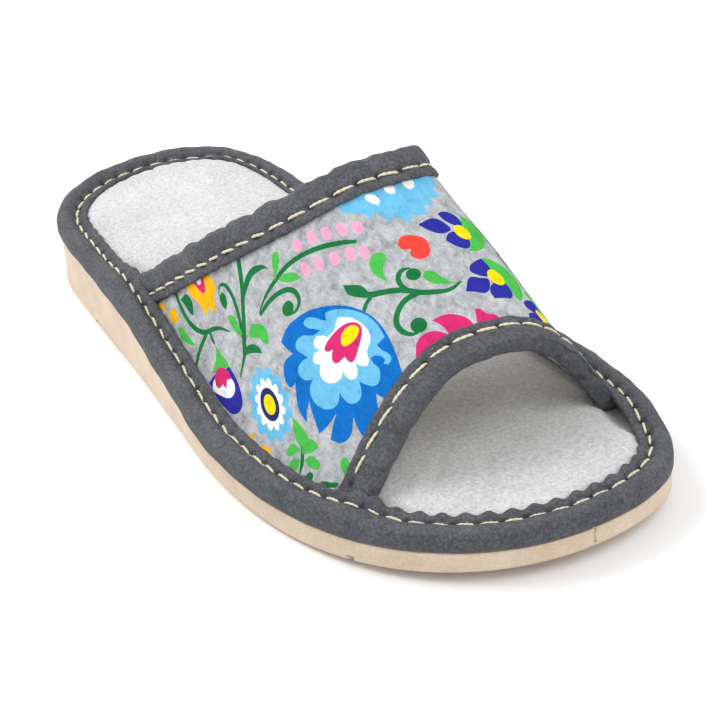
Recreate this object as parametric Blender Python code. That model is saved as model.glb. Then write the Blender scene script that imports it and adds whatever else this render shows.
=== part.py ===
"""Open-toe slide slipper for the right foot, standing empty on its sole.

A maker puts it together from six pieces: a low wedge sole, a padded insole, a felt upper
that arches over the foot, a folded strip that binds the edge all round, and two narrower
folded strips that bind the upper at the collar and at the toe opening.

+Y points to the toe, +X to the outer side of the foot and +Z up. The origin is on the
floor, under the middle of the slipper's box. All lengths are in metres.
"""

import math
from collections import namedtuple

import bmesh
import bpy
import numpy as np
from mathutils import Vector

for thing in list(bpy.data.objects):
    bpy.data.objects.remove(thing, do_unlink=True)

# Size of the last
LENGTH = 0.250
BALL_WIDTH = 0.1095
HEEL_HEIGHT = 0.0169
BALL_HEIGHT = 0.0072
TOE_RISE = 0.0024
TOE_SPRING = 0.0037
WAIST_LIFT = 0.0012

# Where the wedge, the toe spring and the waist run, as shares of the length from the heel
WEDGE_FROM = 0.28
WEDGE_TO = 0.65
SPRING_FROM = 0.70
WAIST_FROM = 0.34
WAIST_TO = 0.62

# The middle line of the sole swings inwards towards the toe by this much for each metre
TOE_SWING = -0.048

# Upper: rise of the instep above its foot, wall, and edges as shares of the length
COLLAR_RISE = 0.0593
TOE_OPENING_RISE = 0.0293
UPPER_WALL = 0.0022
COLLAR_MIDDLE = 0.595
COLLAR_SIDE = 0.327
TOE_EDGE_MIDDLE = 0.832
TOE_EDGE_OUTER = 0.848
TOE_EDGE_INNER = 0.830

# Shape of the arch and its edges: powers of the share of the way out to each foot
ARCH_SHOULDER_OUTER = 2.05
ARCH_SHOULDER_INNER = 3.85
ARCH_SHOULDER_TOE = 3.15
ARCH_LEAN = 0.0029
LEAN_FROM = 0.68
LEAN_TO = 0.80
ARCH_FLARE = 1.2
COLLAR_CURVE_OUTER = 2.55
COLLAR_CURVE_INNER = 4.0
TOE_EDGE_CURVE = 2.1
FOOT_CORNER = 0.65

# Strips that bind the edges
EDGE_STRIP = 0.0013
EDGE_HEIGHT = 0.0061
EDGE_WIDTH = 0.0093
EDGE_ROUND = 0.0025
EDGE_FOOT_TUCK = 0.0005
TUCK_RISE = 0.0010
TUCK_RAMP = 0.012
OPENING_STRIP = 0.0012
OPENING_STRIP_WIDTH = 0.0110
OPENING_NOSE = 0.0022

# Insole
CROWN = 0.0026
CROWN_STEPS = ((0.0, 0.0), (0.0025, 0.62), (0.008, 0.88), (0.018, 1.0))

# Sole edge and tread
SOLE_INSET = 0.0006
SOLE_BEVEL = 0.0012
TREAD_WIDTH = 0.0022
TREAD_DEPTH = 0.0018
TREAD_PITCH = 0.0145
TREAD_MARGIN = 0.0080
FOREFOOT_TREAD = 0.636
FOREFOOT_BARS = 6
HEEL_TREAD = 0.070
HEEL_BARS = 4

# Clearance between pieces that are sewn or glued together
GAP = 0.0003

# Fineness of the faceted surfaces
OUTLINE_STEPS = 48
ARCH_STEPS = 24
UPPER_ROWS = 12
OPENING_STEPS = 34
TRACE_SAMPLES = 160

# How far past the feet a folded strip is followed before it is cut off
TRACE_REACH = 1.25

# Outline of the binding: how far it reaches to each side, as a share of the ball width, of
# an ellipse as long as the slipper
Girth = namedtuple("Girth", "share outer inner")
OUTLINE = (
    Girth(0.00, 0.699, 0.645),
    Girth(0.08, 0.641, 0.500),
    Girth(0.18, 0.534, 0.390),
    Girth(0.32, 0.477, 0.328),
    Girth(0.50, 0.493, 0.402),
    Girth(0.66, 0.564, 0.476),
    Girth(0.80, 0.632, 0.559),
    Girth(0.90, 0.683, 0.640),
    Girth(1.00, 0.735, 0.848),
)

OUTER = 1
INNER = -1


def smooth_step(low, high, value):
    """0 below low, 1 above high and an S curve between them."""
    share = min(max((value - low) / (high - low), 0.0), 1.0)
    return share * share * (3.0 - 2.0 * share)


def curve_through(places, values, at):
    """Value at one place of the smooth curve through a table's rows."""
    slopes = np.gradient(np.array(values), np.array(places))
    row = int(np.searchsorted(places, at, side="right")) - 1
    row = min(max(row, 0), len(places) - 2)
    span = places[row + 1] - places[row]
    t = (at - places[row]) / span
    start = (1 + 2 * t) * (1 - t) ** 2 * values[row] + t * (1 - t) ** 2 * span * slopes[row]
    end = t * t * (3 - 2 * t) * values[row + 1] - t * t * (1 - t) * span * slopes[row + 1]
    return float(start + end)


def share_of(y):
    """Place along the slipper as a share of its length from the heel."""
    return y / LENGTH + 0.5


def place_of(share):
    """Place along Y of a share of the length."""
    return (share - 0.5) * LENGTH


def outline():
    """Points of the binding's outer line, round the toe and back, with their inward normals."""
    shares = [girth.share for girth in OUTLINE]
    points = []
    for step in range(2 * OUTLINE_STEPS):
        angle = math.pi * step / OUTLINE_STEPS
        share = (1.0 - math.cos(angle)) / 2.0
        column = [girth.outer if math.sin(angle) >= 0 else girth.inner for girth in OUTLINE]
        reach = math.sin(angle) * curve_through(shares, column, share) * BALL_WIDTH
        y = place_of(share)
        points.append((reach + TOE_SWING * y, y))
    points = np.array(points)
    points[:, 0] -= (points[:, 0].min() + points[:, 0].max()) / 2.0
    along = np.roll(points, -1, axis=0) - np.roll(points, 1, axis=0)
    inwards = np.column_stack((-along[:, 1], along[:, 0]))
    inwards /= np.linalg.norm(inwards, axis=1)[:, None]
    return points, inwards


OUTLINE_POINTS, OUTLINE_INWARDS = outline()


def side_of(index):
    """Outer side on the way to the toe, inner side on the way back."""
    return OUTER if index <= OUTLINE_STEPS else INNER


def line_at(inset):
    """The outline moved inwards by one distance."""
    return OUTLINE_POINTS + OUTLINE_INWARDS * inset


def side_table(inset, side):
    """Places y and x of one side of the moved outline, heel first."""
    line = line_at(inset)
    if side == OUTER:
        chosen = line[: OUTLINE_STEPS + 1]
    else:
        chosen = np.vstack((line[:1], line[OUTLINE_STEPS:][::-1]))
    return chosen[:, 1], chosen[:, 0]


def sole_top(y):
    """Height of the sole's upper face."""
    share = share_of(y)
    wedge = (BALL_HEIGHT - HEEL_HEIGHT) * smooth_step(WEDGE_FROM, WEDGE_TO, share)
    toe = max((share - SPRING_FROM) / (1.0 - SPRING_FROM), 0.0) ** 2
    return HEEL_HEIGHT + wedge + TOE_RISE * toe


def sole_bottom(y, side):
    """Height of the tread: flat, with a toe spring, and lifted at the inner waist."""
    share = share_of(y)
    toe = max((share - SPRING_FROM) / (1.0 - SPRING_FROM), 0.0) ** 2
    waist = 0.0
    if side == INNER and WAIST_FROM < share < WAIST_TO:
        turn = math.pi * (share - WAIST_FROM) / (WAIST_TO - WAIST_FROM)
        waist = math.sin(turn) ** 2
    return TOE_SPRING * toe + WAIST_LIFT * waist


def toe_edge_side(side):
    """Where the upper's front edge meets the sole on one side."""
    return TOE_EDGE_OUTER if side == OUTER else TOE_EDGE_INNER


def tuck(y, side):
    """1 where the upper's margin lies under the edge binding, 0 past its ends."""
    one_step = math.pi * LENGTH / 2.0 / OUTLINE_STEPS
    rear = place_of(COLLAR_SIDE) - one_step
    front = place_of(toe_edge_side(side)) + one_step
    opened = smooth_step(rear - TUCK_RAMP, rear, y)
    closed = smooth_step(front, front + TUCK_RAMP, y)
    return opened * (1.0 - closed)


def flap_top(y, side):
    """Height of the edge binding's upper face."""
    return sole_top(y) + EDGE_HEIGHT + TUCK_RISE * tuck(y, side)


def margin_top(y, side):
    """Height of the upper's margin, just under the edge binding."""
    return flap_top(y, side) - EDGE_STRIP - GAP


def insole_margin(y, side):
    """Height of the insole's margin, under the binding or under the upper's margin."""
    pressed = (UPPER_WALL + GAP) * tuck(y, side)
    return margin_top(y, side) - pressed


def ring(inset, level):
    """One closed line round the slipper. Inset and level are functions of place and side."""
    points = []
    for index, (point, inwards) in enumerate(zip(OUTLINE_POINTS, OUTLINE_INWARDS)):
        side = side_of(index)
        moved = point + inwards * inset(point[1], side)
        points.append(Vector((moved[0], moved[1], level(moved[1], side))))
    return points


def fixed(value):
    """The same inset all round."""
    return lambda y, side: value


def raised(level, height):
    """A level raised by one height all round."""
    return lambda y, side: level(y, side) + height


def cross_strips(first, count):
    """Faces that close a ring from side to side, where opposite points share a station."""
    half = count // 2
    faces = [(first, first + 1, first + count - 1)]
    for step in range(1, half - 1):
        faces.append((first + step, first + step + 1, first + count - step - 1, first + count - step))
    faces.append((first + half - 1, first + half, first + half + 1))
    return faces


def loft(rings, closed):
    """Vertices and side faces through rings of equal count."""
    count = len(rings[0])
    vertices = [point for points in rings for point in points]
    faces = []
    for row in range(len(rings) if closed else len(rings) - 1):
        below = row * count
        above = (row + 1) % len(rings) * count
        for step in range(count):
            after = (step + 1) % count
            faces.append((below + step, below + after, above + after, above + step))
    return vertices, faces


def material(name, colour, roughness):
    """A plain surface in the piece's own colour."""
    surface = bpy.data.materials.new(name)
    surface.use_nodes = True
    shader = surface.node_tree.nodes["Principled BSDF"]
    linear = [(channel / 255.0) ** 2.2 for channel in colour]
    shader.inputs["Base Color"].default_value = (*linear, 1.0)
    shader.inputs["Roughness"].default_value = roughness
    shader.inputs["Metallic"].default_value = 0.0
    return surface


def add_piece(name, vertices, faces, colour, roughness):
    """A named object from vertices and faces, its faces turned outwards."""
    mesh = bpy.data.meshes.new(name)
    mesh.from_pydata([tuple(vertex) for vertex in vertices], [], faces)
    shape = bmesh.new()
    shape.from_mesh(mesh)
    bmesh.ops.recalc_face_normals(shape, faces=shape.faces)
    shape.to_mesh(mesh)
    shape.free()
    mesh.materials.append(material(name, colour, roughness))
    mesh.shade_smooth()
    mesh.set_sharp_from_angle(angle=math.radians(40))
    piece = bpy.data.objects.new(name, mesh)
    bpy.context.scene.collection.objects.link(piece)
    return piece


def sole_face(y, side):
    """Upper face of the sole as a level for a ring."""
    return sole_top(y)


def tread_cutter():
    """Bars that cut the cross grooves: two run out at the edge, the rest stop short of it."""
    heel_start = place_of(HEEL_TREAD)
    toe_start = place_of(FOREFOOT_TREAD)
    places = [heel_start + TREAD_PITCH * bar for bar in range(HEEL_BARS)]
    places += [toe_start + TREAD_PITCH * bar for bar in range(FOREFOOT_BARS)]
    open_bars = (HEEL_BARS - 1, len(places) - 2)
    shape = bmesh.new()
    for bar, y in enumerate(places):
        margin = -TREAD_MARGIN if bar in open_bars else TREAD_MARGIN
        sides = [np.interp(y, *side_table(margin, side)) for side in (INNER, OUTER)]
        top = sole_bottom(y, OUTER) + TREAD_DEPTH
        bottom = -TREAD_DEPTH
        made = bmesh.ops.create_cube(shape, size=1.0)["verts"]
        size = Vector((sides[1] - sides[0], TREAD_WIDTH, top - bottom))
        middle = Vector(((sides[0] + sides[1]) / 2.0, y, (top + bottom) / 2.0))
        bmesh.ops.scale(shape, vec=size, verts=made)
        bmesh.ops.translate(shape, vec=middle, verts=made)
    mesh = bpy.data.meshes.new("tread_cutter")
    shape.to_mesh(mesh)
    shape.free()
    cutter = bpy.data.objects.new("tread_cutter", mesh)
    cutter.hide_render = True
    cutter.display_type = "WIRE"
    bpy.context.scene.collection.objects.link(cutter)
    return cutter


def build_outsole():
    """Wedge sole with a toe spring, a lifted inner waist and cross grooves."""
    lower = SOLE_INSET + SOLE_BEVEL
    rings = [
        ring(fixed(lower), sole_bottom),
        ring(fixed(SOLE_INSET), raised(sole_bottom, SOLE_BEVEL)),
        ring(fixed(SOLE_INSET), raised(sole_face, -SOLE_BEVEL / 2.0)),
        ring(fixed(SOLE_INSET + SOLE_BEVEL / 2.0), sole_face),
    ]
    vertices, faces = loft(rings, closed=False)
    count = len(rings[0])
    faces += cross_strips(0, count)
    faces += cross_strips((len(rings) - 1) * count, count)
    sole = add_piece("outsole", vertices, faces, (203, 178, 150), 0.6)
    cut = sole.modifiers.new("tread", "BOOLEAN")
    cut.operation = "DIFFERENCE"
    cut.solver = "EXACT"
    cut.object = tread_cutter()
    return sole


def build_insole():
    """Padded footbed: a margin pressed flat under the binding and a soft crown inside it."""
    edge = EDGE_STRIP + GAP
    margin = edge + EDGE_STRIP

    def crown_start(y, side):
        return EDGE_WIDTH + GAP + (UPPER_WALL + 2.0 * GAP) * tuck(y, side)

    def crown_ring(inset, rise):
        """One ring of the crown, which starts at the margin and levels out inside it."""
        def level(y, side):
            if inset == 0.0:
                return insole_margin(y, side)
            return sole_top(y) + EDGE_HEIGHT - EDGE_STRIP - GAP + rise
        return ring(lambda y, side: crown_start(y, side) + inset, level)

    rings = [
        ring(fixed(edge), raised(sole_face, GAP)),
        ring(fixed(edge), raised(insole_margin, -EDGE_ROUND + EDGE_STRIP)),
        ring(fixed(margin), insole_margin),
    ]
    rings += [crown_ring(inset, CROWN * rise) for inset, rise in CROWN_STEPS]
    vertices, faces = loft(rings, closed=False)
    count = len(rings[0])
    faces += cross_strips(0, count)
    faces += cross_strips((len(rings) - 1) * count, count)
    return add_piece("insole", vertices, faces, (208, 210, 210), 0.9)


def build_edge_binding():
    """Folded strip round the whole edge: a rounded wall and a flap over the insole's margin."""
    def low(height):
        return lambda y, side: sole_top(y) + height

    def high(height):
        return lambda y, side: flap_top(y, side) - height

    section = [
        (EDGE_STRIP, low(GAP)),
        (EDGE_FOOT_TUCK, low(GAP)),
        (0.0, low(EDGE_ROUND)),
    ]
    for step in range(1, 4):
        angle = math.radians(30.0 * step)
        inset = EDGE_ROUND * (1.0 - math.cos(angle))
        section.append((inset, high(EDGE_ROUND * (1.0 - math.sin(angle)))))
    round_end = EDGE_STRIP / 2.0
    section += [
        (EDGE_WIDTH - round_end, high(0.0)),
        (EDGE_WIDTH, high(round_end)),
        (EDGE_WIDTH, high(EDGE_STRIP)),
        (EDGE_ROUND, high(EDGE_STRIP)),
        (EDGE_STRIP, high(EDGE_ROUND)),
    ]
    rings = [ring(fixed(inset), level) for inset, level in section]
    vertices, faces = loft(rings, closed=True)
    return add_piece("edge_binding", vertices, faces, (103, 104, 106), 0.75)


FOOT_INSET = EDGE_WIDTH + GAP
FOOT_TABLES = {side: side_table(FOOT_INSET, side) for side in (OUTER, INNER)}


def foot_x(y, side):
    """Where the arch of the upper stands on one side."""
    return float(np.interp(y, *FOOT_TABLES[side]))


def arch_height(y):
    """Rise of the upper's middle line above its feet, falling evenly to the toe opening."""
    rear = place_of(COLLAR_MIDDLE)
    front = place_of(TOE_EDGE_MIDDLE)
    share = (y - rear) / (front - rear)
    return COLLAR_RISE + (TOE_OPENING_RISE - COLLAR_RISE) * share


def inner_shoulder(y):
    """How boxy the inner side of the arch is, less so towards the toe opening."""
    share = smooth_step(COLLAR_MIDDLE, TOE_EDGE_MIDDLE, share_of(y))
    return ARCH_SHOULDER_INNER + (ARCH_SHOULDER_TOE - ARCH_SHOULDER_INNER) * share


def arch_point(across, y):
    """Point of the upper's outer face. Across runs from -1 at the inner foot to 1 at the outer."""
    outer = foot_x(y, OUTER)
    inner = foot_x(y, INNER)
    lean = ARCH_LEAN * (1.0 - smooth_step(LEAN_FROM, LEAN_TO, share_of(y)))
    x = (outer + inner) / 2.0 + (outer - inner) / 2.0 * across - lean * (1.0 - across * across)
    side = OUTER if across > 0 else INNER
    shoulder = ARCH_SHOULDER_OUTER if across > 0 else inner_shoulder(y)
    profile = max(1.0 - abs(across) ** shoulder, 0.0) ** ARCH_FLARE
    return Vector((x, y, margin_top(y, side) + arch_height(y) * profile))


LAST_STEEP = 0.972


def strip_point(across, y):
    """Like arch_point, but it runs straight on down past the foot of the arch."""
    if abs(across) <= LAST_STEEP:
        return arch_point(across, y)
    end = math.copysign(LAST_STEEP, across)
    step = math.copysign(0.01, across)
    here = arch_point(end, y)
    slope = (here - arch_point(end - step, y)) / 0.01
    return here + slope * (abs(across) - LAST_STEEP)


def strip_normal(across, y):
    """Outward direction of the upper's surface."""
    small = 0.004
    by_across = strip_point(across + small, y) - strip_point(across - small, y)
    by_length = strip_point(across, y + small / 10.0) - strip_point(across, y - small / 10.0)
    return by_across.cross(by_length).normalized()


def collar_edge(across):
    """Place along the slipper of the upper's cut rear edge."""
    middle = place_of(COLLAR_MIDDLE)
    curve = COLLAR_CURVE_OUTER if across > 0 else COLLAR_CURVE_INNER
    return middle + (place_of(COLLAR_SIDE) - middle) * abs(across) ** curve


def toe_edge(across):
    """Place along the slipper of the upper's cut front edge."""
    middle = place_of(TOE_EDGE_MIDDLE)
    end = place_of(toe_edge_side(OUTER if across > 0 else INNER))
    return middle + (end - middle) * abs(across) ** TOE_EDGE_CURVE


def shell(outside, inside):
    """Vertices and faces of a closed wall between two grids of points."""
    rows = len(outside)
    width = len(outside[0])
    vertices = [point for line in outside + inside for point in line]
    under = rows * width
    faces = []
    for row in range(rows - 1):
        for step in range(width - 1):
            start = row * width + step
            face = (start, start + 1, start + width + 1, start + width)
            faces.append(face)
            faces.append(tuple(under + index for index in reversed(face)))
    rim = [step for step in range(width)]
    rim += [row * width + width - 1 for row in range(1, rows)]
    rim += [(rows - 1) * width + step for step in range(width - 2, -1, -1)]
    rim += [row * width for row in range(rows - 2, 0, -1)]
    for start, end in zip(rim, rim[1:] + rim[:1]):
        faces.append((end, start, under + start, under + end))
    return vertices, faces


def build_upper():
    """Felt arch, open at the collar, the toe and underneath, with a margin along each side."""
    tables = {side: side_table(EDGE_ROUND + GAP, side) for side in (OUTER, INNER)}
    stops = [math.sin(math.pi * (step / ARCH_STEPS - 0.5)) for step in range(ARCH_STEPS + 1)]
    down = Vector((0.0, 0.0, -UPPER_WALL))
    outside = []
    inside = []
    for row in range(UPPER_ROWS + 1):
        share = row / UPPER_ROWS
        outer_line = []
        inner_line = []
        for across in stops:
            y = collar_edge(across) * (1.0 - share) + toe_edge(across) * share
            point = arch_point(across, y)
            outer_line.append(point)
            inner_line.append(point - strip_normal(across, y) * UPPER_WALL)
        for side, foot in ((INNER, outer_line[0]), (OUTER, outer_line[-1])):
            corner = foot + down - Vector((side * FOOT_CORNER * UPPER_WALL, 0.0, 0.0))
            margin = Vector((float(np.interp(foot.y, *tables[side])), foot.y, margin_top(foot.y, side)))
            if side == INNER:
                inner_line[0] = corner
                outer_line.insert(0, margin)
                inner_line.insert(0, margin + down)
            else:
                inner_line[-1] = corner
                outer_line.append(margin)
                inner_line.append(margin + down)
        outside.append(outer_line)
        inside.append(inner_line)
    vertices, faces = shell(outside, inside)
    return add_piece("upper", vertices, faces, (176, 178, 180), 0.95)


def strip_section():
    """Folded strip in section: distance past the cut edge, and height over the outer face."""
    reach = OPENING_STRIP_WIDTH - OPENING_NOSE
    over = GAP + OPENING_STRIP
    under = -UPPER_WALL - over
    middle = -UPPER_WALL / 2.0
    radius = UPPER_WALL / 2.0 + over
    section = [(-reach, GAP), (-reach, over), (-reach / 2.0, over)]
    for step in range(7):
        angle = math.radians(90.0 - 30.0 * step)
        section.append((OPENING_NOSE * math.cos(angle), middle + radius * math.sin(angle)))
    section += [
        (-reach / 2.0, under),
        (-reach, under),
        (-reach, -UPPER_WALL - GAP),
        (-reach / 2.0, -UPPER_WALL - GAP),
        (GAP, -UPPER_WALL - GAP),
        (GAP, GAP),
        (-reach / 2.0, GAP),
    ]
    return section


def strip_trace(edge, free_way, past, height):
    """One lengthwise line of a folded strip, cut off just above the edge binding at both ends."""
    step = 0.002
    places = []
    points = []
    for sample in range(TRACE_SAMPLES + 1):
        across = TRACE_REACH * (2.0 * sample / TRACE_SAMPLES - 1.0)
        y = edge(across)
        here = strip_point(across, y)
        ahead = strip_point(across + step, edge(across + step))
        behind = strip_point(across - step, edge(across - step))
        along = (ahead - behind).normalized()
        normal = strip_normal(across, y)
        free = along.cross(normal) * free_way
        by_across = (strip_point(across + step, y) - here) / step
        by_length = (strip_point(across, y + GAP) - here) / GAP
        directions = np.array([by_across, by_length]).T
        moved = np.linalg.lstsq(directions, np.array(free * past), rcond=None)[0]
        across_there = across + float(moved[0])
        y_there = y + float(moved[1])
        places.append(across)
        points.append(strip_point(across_there, y_there) + strip_normal(across_there, y_there) * height)
    return places, points


def clear_of_flap(point, across):
    """Height of a point over the edge binding's upper face, less the clearance."""
    side = OUTER if across > 0 else INNER
    return point.z - flap_top(point.y, side) - GAP


def trimmed(places, points):
    """A strip's line between its two crossings of the edge binding's upper face."""
    middle = len(points) // 2
    ends = []
    for way in (-1, 1):
        index = middle
        while clear_of_flap(points[index + way], places[index + way]) > 0.0:
            index += way
        inside = clear_of_flap(points[index], places[index])
        outside = clear_of_flap(points[index + way], places[index + way])
        share = inside / (inside - outside)
        ends.append(places[index] + (places[index + way] - places[index]) * share)
    turns = np.sin(np.pi * (np.arange(OPENING_STEPS + 1) / OPENING_STEPS - 0.5))
    across = ends[0] + (ends[1] - ends[0]) * (turns + 1.0) / 2.0
    columns = np.array(points).T
    line = np.column_stack([np.interp(across, places, column) for column in columns])
    return [Vector(point) for point in line]


def build_opening_binding(name, edge, free_way):
    """Folded strip over one cut edge of the upper, its ends standing on the edge binding."""
    lines = []
    for past, height in strip_section():
        places, points = strip_trace(edge, free_way, past, height)
        lines.append(trimmed(places, points))
    count = len(lines)
    rings = [[line[step] for line in lines] for step in range(OPENING_STEPS + 1)]
    vertices, faces = loft(rings, closed=False)
    for first in (0, OPENING_STEPS * count):
        faces.append(tuple(range(first, first + count)))
    return add_piece(name, vertices, faces, (103, 104, 106), 0.75)


build_outsole()
build_insole()
build_edge_binding()
build_upper()
build_opening_binding("collar_binding", collar_edge, 1.0)
build_opening_binding("toe_binding", toe_edge, -1.0)
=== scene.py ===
# %% [markdown]
# # Open-toe slide slipper
#
# A right house slipper: a low wedge of tan foam, a padded grey insole, a printed felt arch and
# charcoal strips sewn over every edge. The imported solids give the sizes. This lesson puts a
# finely shaped piece over each of them and gives it its cloth, leather or foam.
#
# The maker's order is followed: sole, insole, edge binding, felt and lining, the two narrow
# bindings, thread. Floor, light and camera come last.

# %% Load the frame
import math
from collections import namedtuple

import bmesh
import bpy
import numpy as np
from mathutils import Matrix, Vector
from mathutils.geometry import delaunay_2d_cdt


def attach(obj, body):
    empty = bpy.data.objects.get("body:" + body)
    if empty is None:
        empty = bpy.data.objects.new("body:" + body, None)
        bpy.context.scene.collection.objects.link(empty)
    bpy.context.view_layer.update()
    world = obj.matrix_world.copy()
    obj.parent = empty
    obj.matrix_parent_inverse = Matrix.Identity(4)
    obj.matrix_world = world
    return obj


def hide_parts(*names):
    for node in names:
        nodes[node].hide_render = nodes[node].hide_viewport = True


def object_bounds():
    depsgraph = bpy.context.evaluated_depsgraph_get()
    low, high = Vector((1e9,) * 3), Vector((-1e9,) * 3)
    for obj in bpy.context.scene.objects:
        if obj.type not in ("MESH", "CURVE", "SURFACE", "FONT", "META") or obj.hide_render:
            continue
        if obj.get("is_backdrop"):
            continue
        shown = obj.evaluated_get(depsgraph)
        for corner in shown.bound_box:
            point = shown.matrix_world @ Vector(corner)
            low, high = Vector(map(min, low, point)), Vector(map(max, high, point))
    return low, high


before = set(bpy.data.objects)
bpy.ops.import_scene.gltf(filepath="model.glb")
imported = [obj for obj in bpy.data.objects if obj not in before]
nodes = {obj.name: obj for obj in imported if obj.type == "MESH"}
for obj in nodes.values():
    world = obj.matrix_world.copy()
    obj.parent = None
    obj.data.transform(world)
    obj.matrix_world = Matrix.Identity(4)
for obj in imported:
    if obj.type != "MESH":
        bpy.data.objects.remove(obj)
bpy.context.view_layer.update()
print("solids:", sorted(nodes))

# %% [markdown]
# The slipper's own sizes come first, in metres, with +Y to the toe, +X to the outer side and
# +Z up. They are the same numbers that the solids were made from, so every finer piece can be
# worked out from them and will lie where its solid lies.

# %% Sizes of the slipper
LENGTH, BALL_WIDTH = 0.250, 0.1095
HEEL_HEIGHT, BALL_HEIGHT = 0.0169, 0.0072
TOE_RISE, TOE_SPRING, WAIST_LIFT = 0.0024, 0.0037, 0.0012
WEDGE_FROM, WEDGE_TO, SPRING_FROM = 0.28, 0.65, 0.70
WAIST_FROM, WAIST_TO, TOE_SWING = 0.34, 0.62, -0.048
COLLAR_RISE, TOE_OPENING_RISE, UPPER_WALL = 0.0593, 0.0293, 0.0022
COLLAR_MIDDLE, COLLAR_SIDE = 0.595, 0.327
TOE_EDGE_MIDDLE, TOE_EDGE_OUTER, TOE_EDGE_INNER = 0.832, 0.848, 0.830
ARCH_SHOULDER_OUTER, ARCH_SHOULDER_INNER, ARCH_SHOULDER_TOE, ARCH_FLARE = 2.05, 3.85, 3.15, 1.2
ARCH_LEAN, LEAN_FROM, LEAN_TO = 0.0029, 0.68, 0.80
COLLAR_CURVE_OUTER, COLLAR_CURVE_INNER, TOE_EDGE_CURVE = 2.55, 4.0, 2.1
EDGE_STRIP, EDGE_HEIGHT, EDGE_WIDTH, EDGE_ROUND = 0.0013, 0.0061, 0.0093, 0.0025
OPENING_STRIP, OPENING_STRIP_WIDTH, OPENING_NOSE = 0.0012, 0.0110, 0.0022
TUCK_RISE, TUCK_RAMP, CROWN, GAP = 0.0010, 0.012, 0.0026, 0.0003
SOLE_INSET, SOLE_BEVEL = 0.0006, 0.0012
TREAD_WIDTH, TREAD_DEPTH, TREAD_PITCH, TREAD_MARGIN = 0.0022, 0.0018, 0.0145, 0.0080
FOREFOOT_TREAD, HEEL_TREAD = 0.636, 0.070
CAD_STEPS = 48
TUCK_LEAD = math.pi * LENGTH / (2 * CAD_STEPS)
LAST_STEEP = 0.972

Girth = namedtuple("Girth", "share outer inner")
OUTLINE = (
    Girth(0.00, 0.699, 0.645),
    Girth(0.08, 0.641, 0.500),
    Girth(0.18, 0.534, 0.390),
    Girth(0.32, 0.477, 0.328),
    Girth(0.50, 0.493, 0.402),
    Girth(0.66, 0.564, 0.476),
    Girth(0.80, 0.632, 0.559),
    Girth(0.90, 0.683, 0.640),
    Girth(1.00, 0.735, 0.848),
)

# %% Curves of the outline
def smooth_step(low, high, value):
    """0 below low, 1 above high and an S curve between them."""
    share = np.clip((value - low) / (high - low), 0.0, 1.0)
    return share * share * (3.0 - 2.0 * share)


def bell(value, width):
    """1 at zero, falling away over a width."""
    return np.exp(-((value / width) ** 2))


def curve_through(places, values, at):
    """Smooth curve through a table's rows."""
    slopes = np.gradient(values, places)
    row = np.clip(np.searchsorted(places, at, side="right") - 1, 0, len(places) - 2)
    span = places[row + 1] - places[row]
    t = (at - places[row]) / span
    start = (1 + 2 * t) * (1 - t) ** 2 * values[row] + t * (1 - t) ** 2 * span * slopes[row]
    end = t * t * (3 - 2 * t) * values[row + 1] - t * t * (1 - t) * span * slopes[row + 1]
    return start + end


def place_of(share):
    """Place along Y of a share of the length from the heel."""
    return (share - 0.5) * LENGTH


def outline(turns):
    """Outer line of the binding and its inward normals, round the outer side to the toe and back."""
    table = np.array(OUTLINE)
    share = (1.0 - np.cos(turns)) / 2.0
    outer = curve_through(table[:, 0], table[:, 1], share)
    inner = curve_through(table[:, 0], table[:, 2], share)
    reach = np.sin(turns) * np.where(np.sin(turns) >= 0, outer, inner) * BALL_WIDTH
    y = place_of(share)
    points = np.column_stack((reach + TOE_SWING * y, y))
    points[:, 0] -= (points[:, 0].min() + points[:, 0].max()) / 2.0
    along = np.roll(points, -1, axis=0) - np.roll(points, 1, axis=0)
    inwards = np.column_stack((-along[:, 1], along[:, 0]))
    return points, inwards / np.linalg.norm(inwards, axis=1)[:, None]


FINE = 4096
TURNS = np.linspace(0.0, 2.0 * math.pi, FINE, endpoint=False)
LINE, INWARDS = outline(TURNS)


def on_line(turns, table):
    """Rows of one of the fine tables at any turn round the slipper."""
    whole = 2.0 * math.pi
    return np.column_stack([np.interp(turns, TURNS, column, period=whole) for column in table.T])


def side_table(inset, side):
    """Places y and x of one side of the line moved inwards, heel first."""
    line = LINE + INWARDS * inset
    half = FINE // 2
    chosen = line[: half + 1] if side > 0 else np.vstack((line[:1], line[half:][::-1]))
    return chosen[:, 1], chosen[:, 0]


def even_turns(inset, count):
    """Turns that cut the line moved inwards into equal lengths, and that line's whole length."""
    line = LINE + INWARDS * inset
    steps = np.linalg.norm(np.roll(line, -1, axis=0) - line, axis=1)
    run = np.concatenate(([0.0], np.cumsum(steps)))
    wanted = np.arange(count) / count * run[-1]
    return np.interp(wanted, run, np.append(TURNS, 2.0 * math.pi)), run[-1]


# %% Levels of the sole and the binding
def toe_part(y):
    """0 behind the toe spring and 1 at the tip."""
    return np.maximum((y / LENGTH + 0.5 - SPRING_FROM) / (1.0 - SPRING_FROM), 0.0) ** 2


def sole_top(y):
    wedge = (BALL_HEIGHT - HEEL_HEIGHT) * smooth_step(WEDGE_FROM, WEDGE_TO, y / LENGTH + 0.5)
    return HEEL_HEIGHT + wedge + TOE_RISE * toe_part(y)


def sole_bottom(y, side):
    waist = np.clip((y / LENGTH + 0.5 - WAIST_FROM) / (WAIST_TO - WAIST_FROM), 0.0, 1.0)
    lift = np.where(side < 0, np.sin(math.pi * waist) ** 2, 0.0)
    return TOE_SPRING * toe_part(y) + WAIST_LIFT * lift


def tuck(y, side):
    """1 where the felt's margin lies under the edge binding."""
    rear = place_of(COLLAR_SIDE) - TUCK_LEAD
    front = place_of(np.where(side > 0, TOE_EDGE_OUTER, TOE_EDGE_INNER)) + TUCK_LEAD
    opened = smooth_step(rear - TUCK_RAMP, rear, y)
    return opened * (1.0 - smooth_step(front, front + TUCK_RAMP, y))


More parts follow.
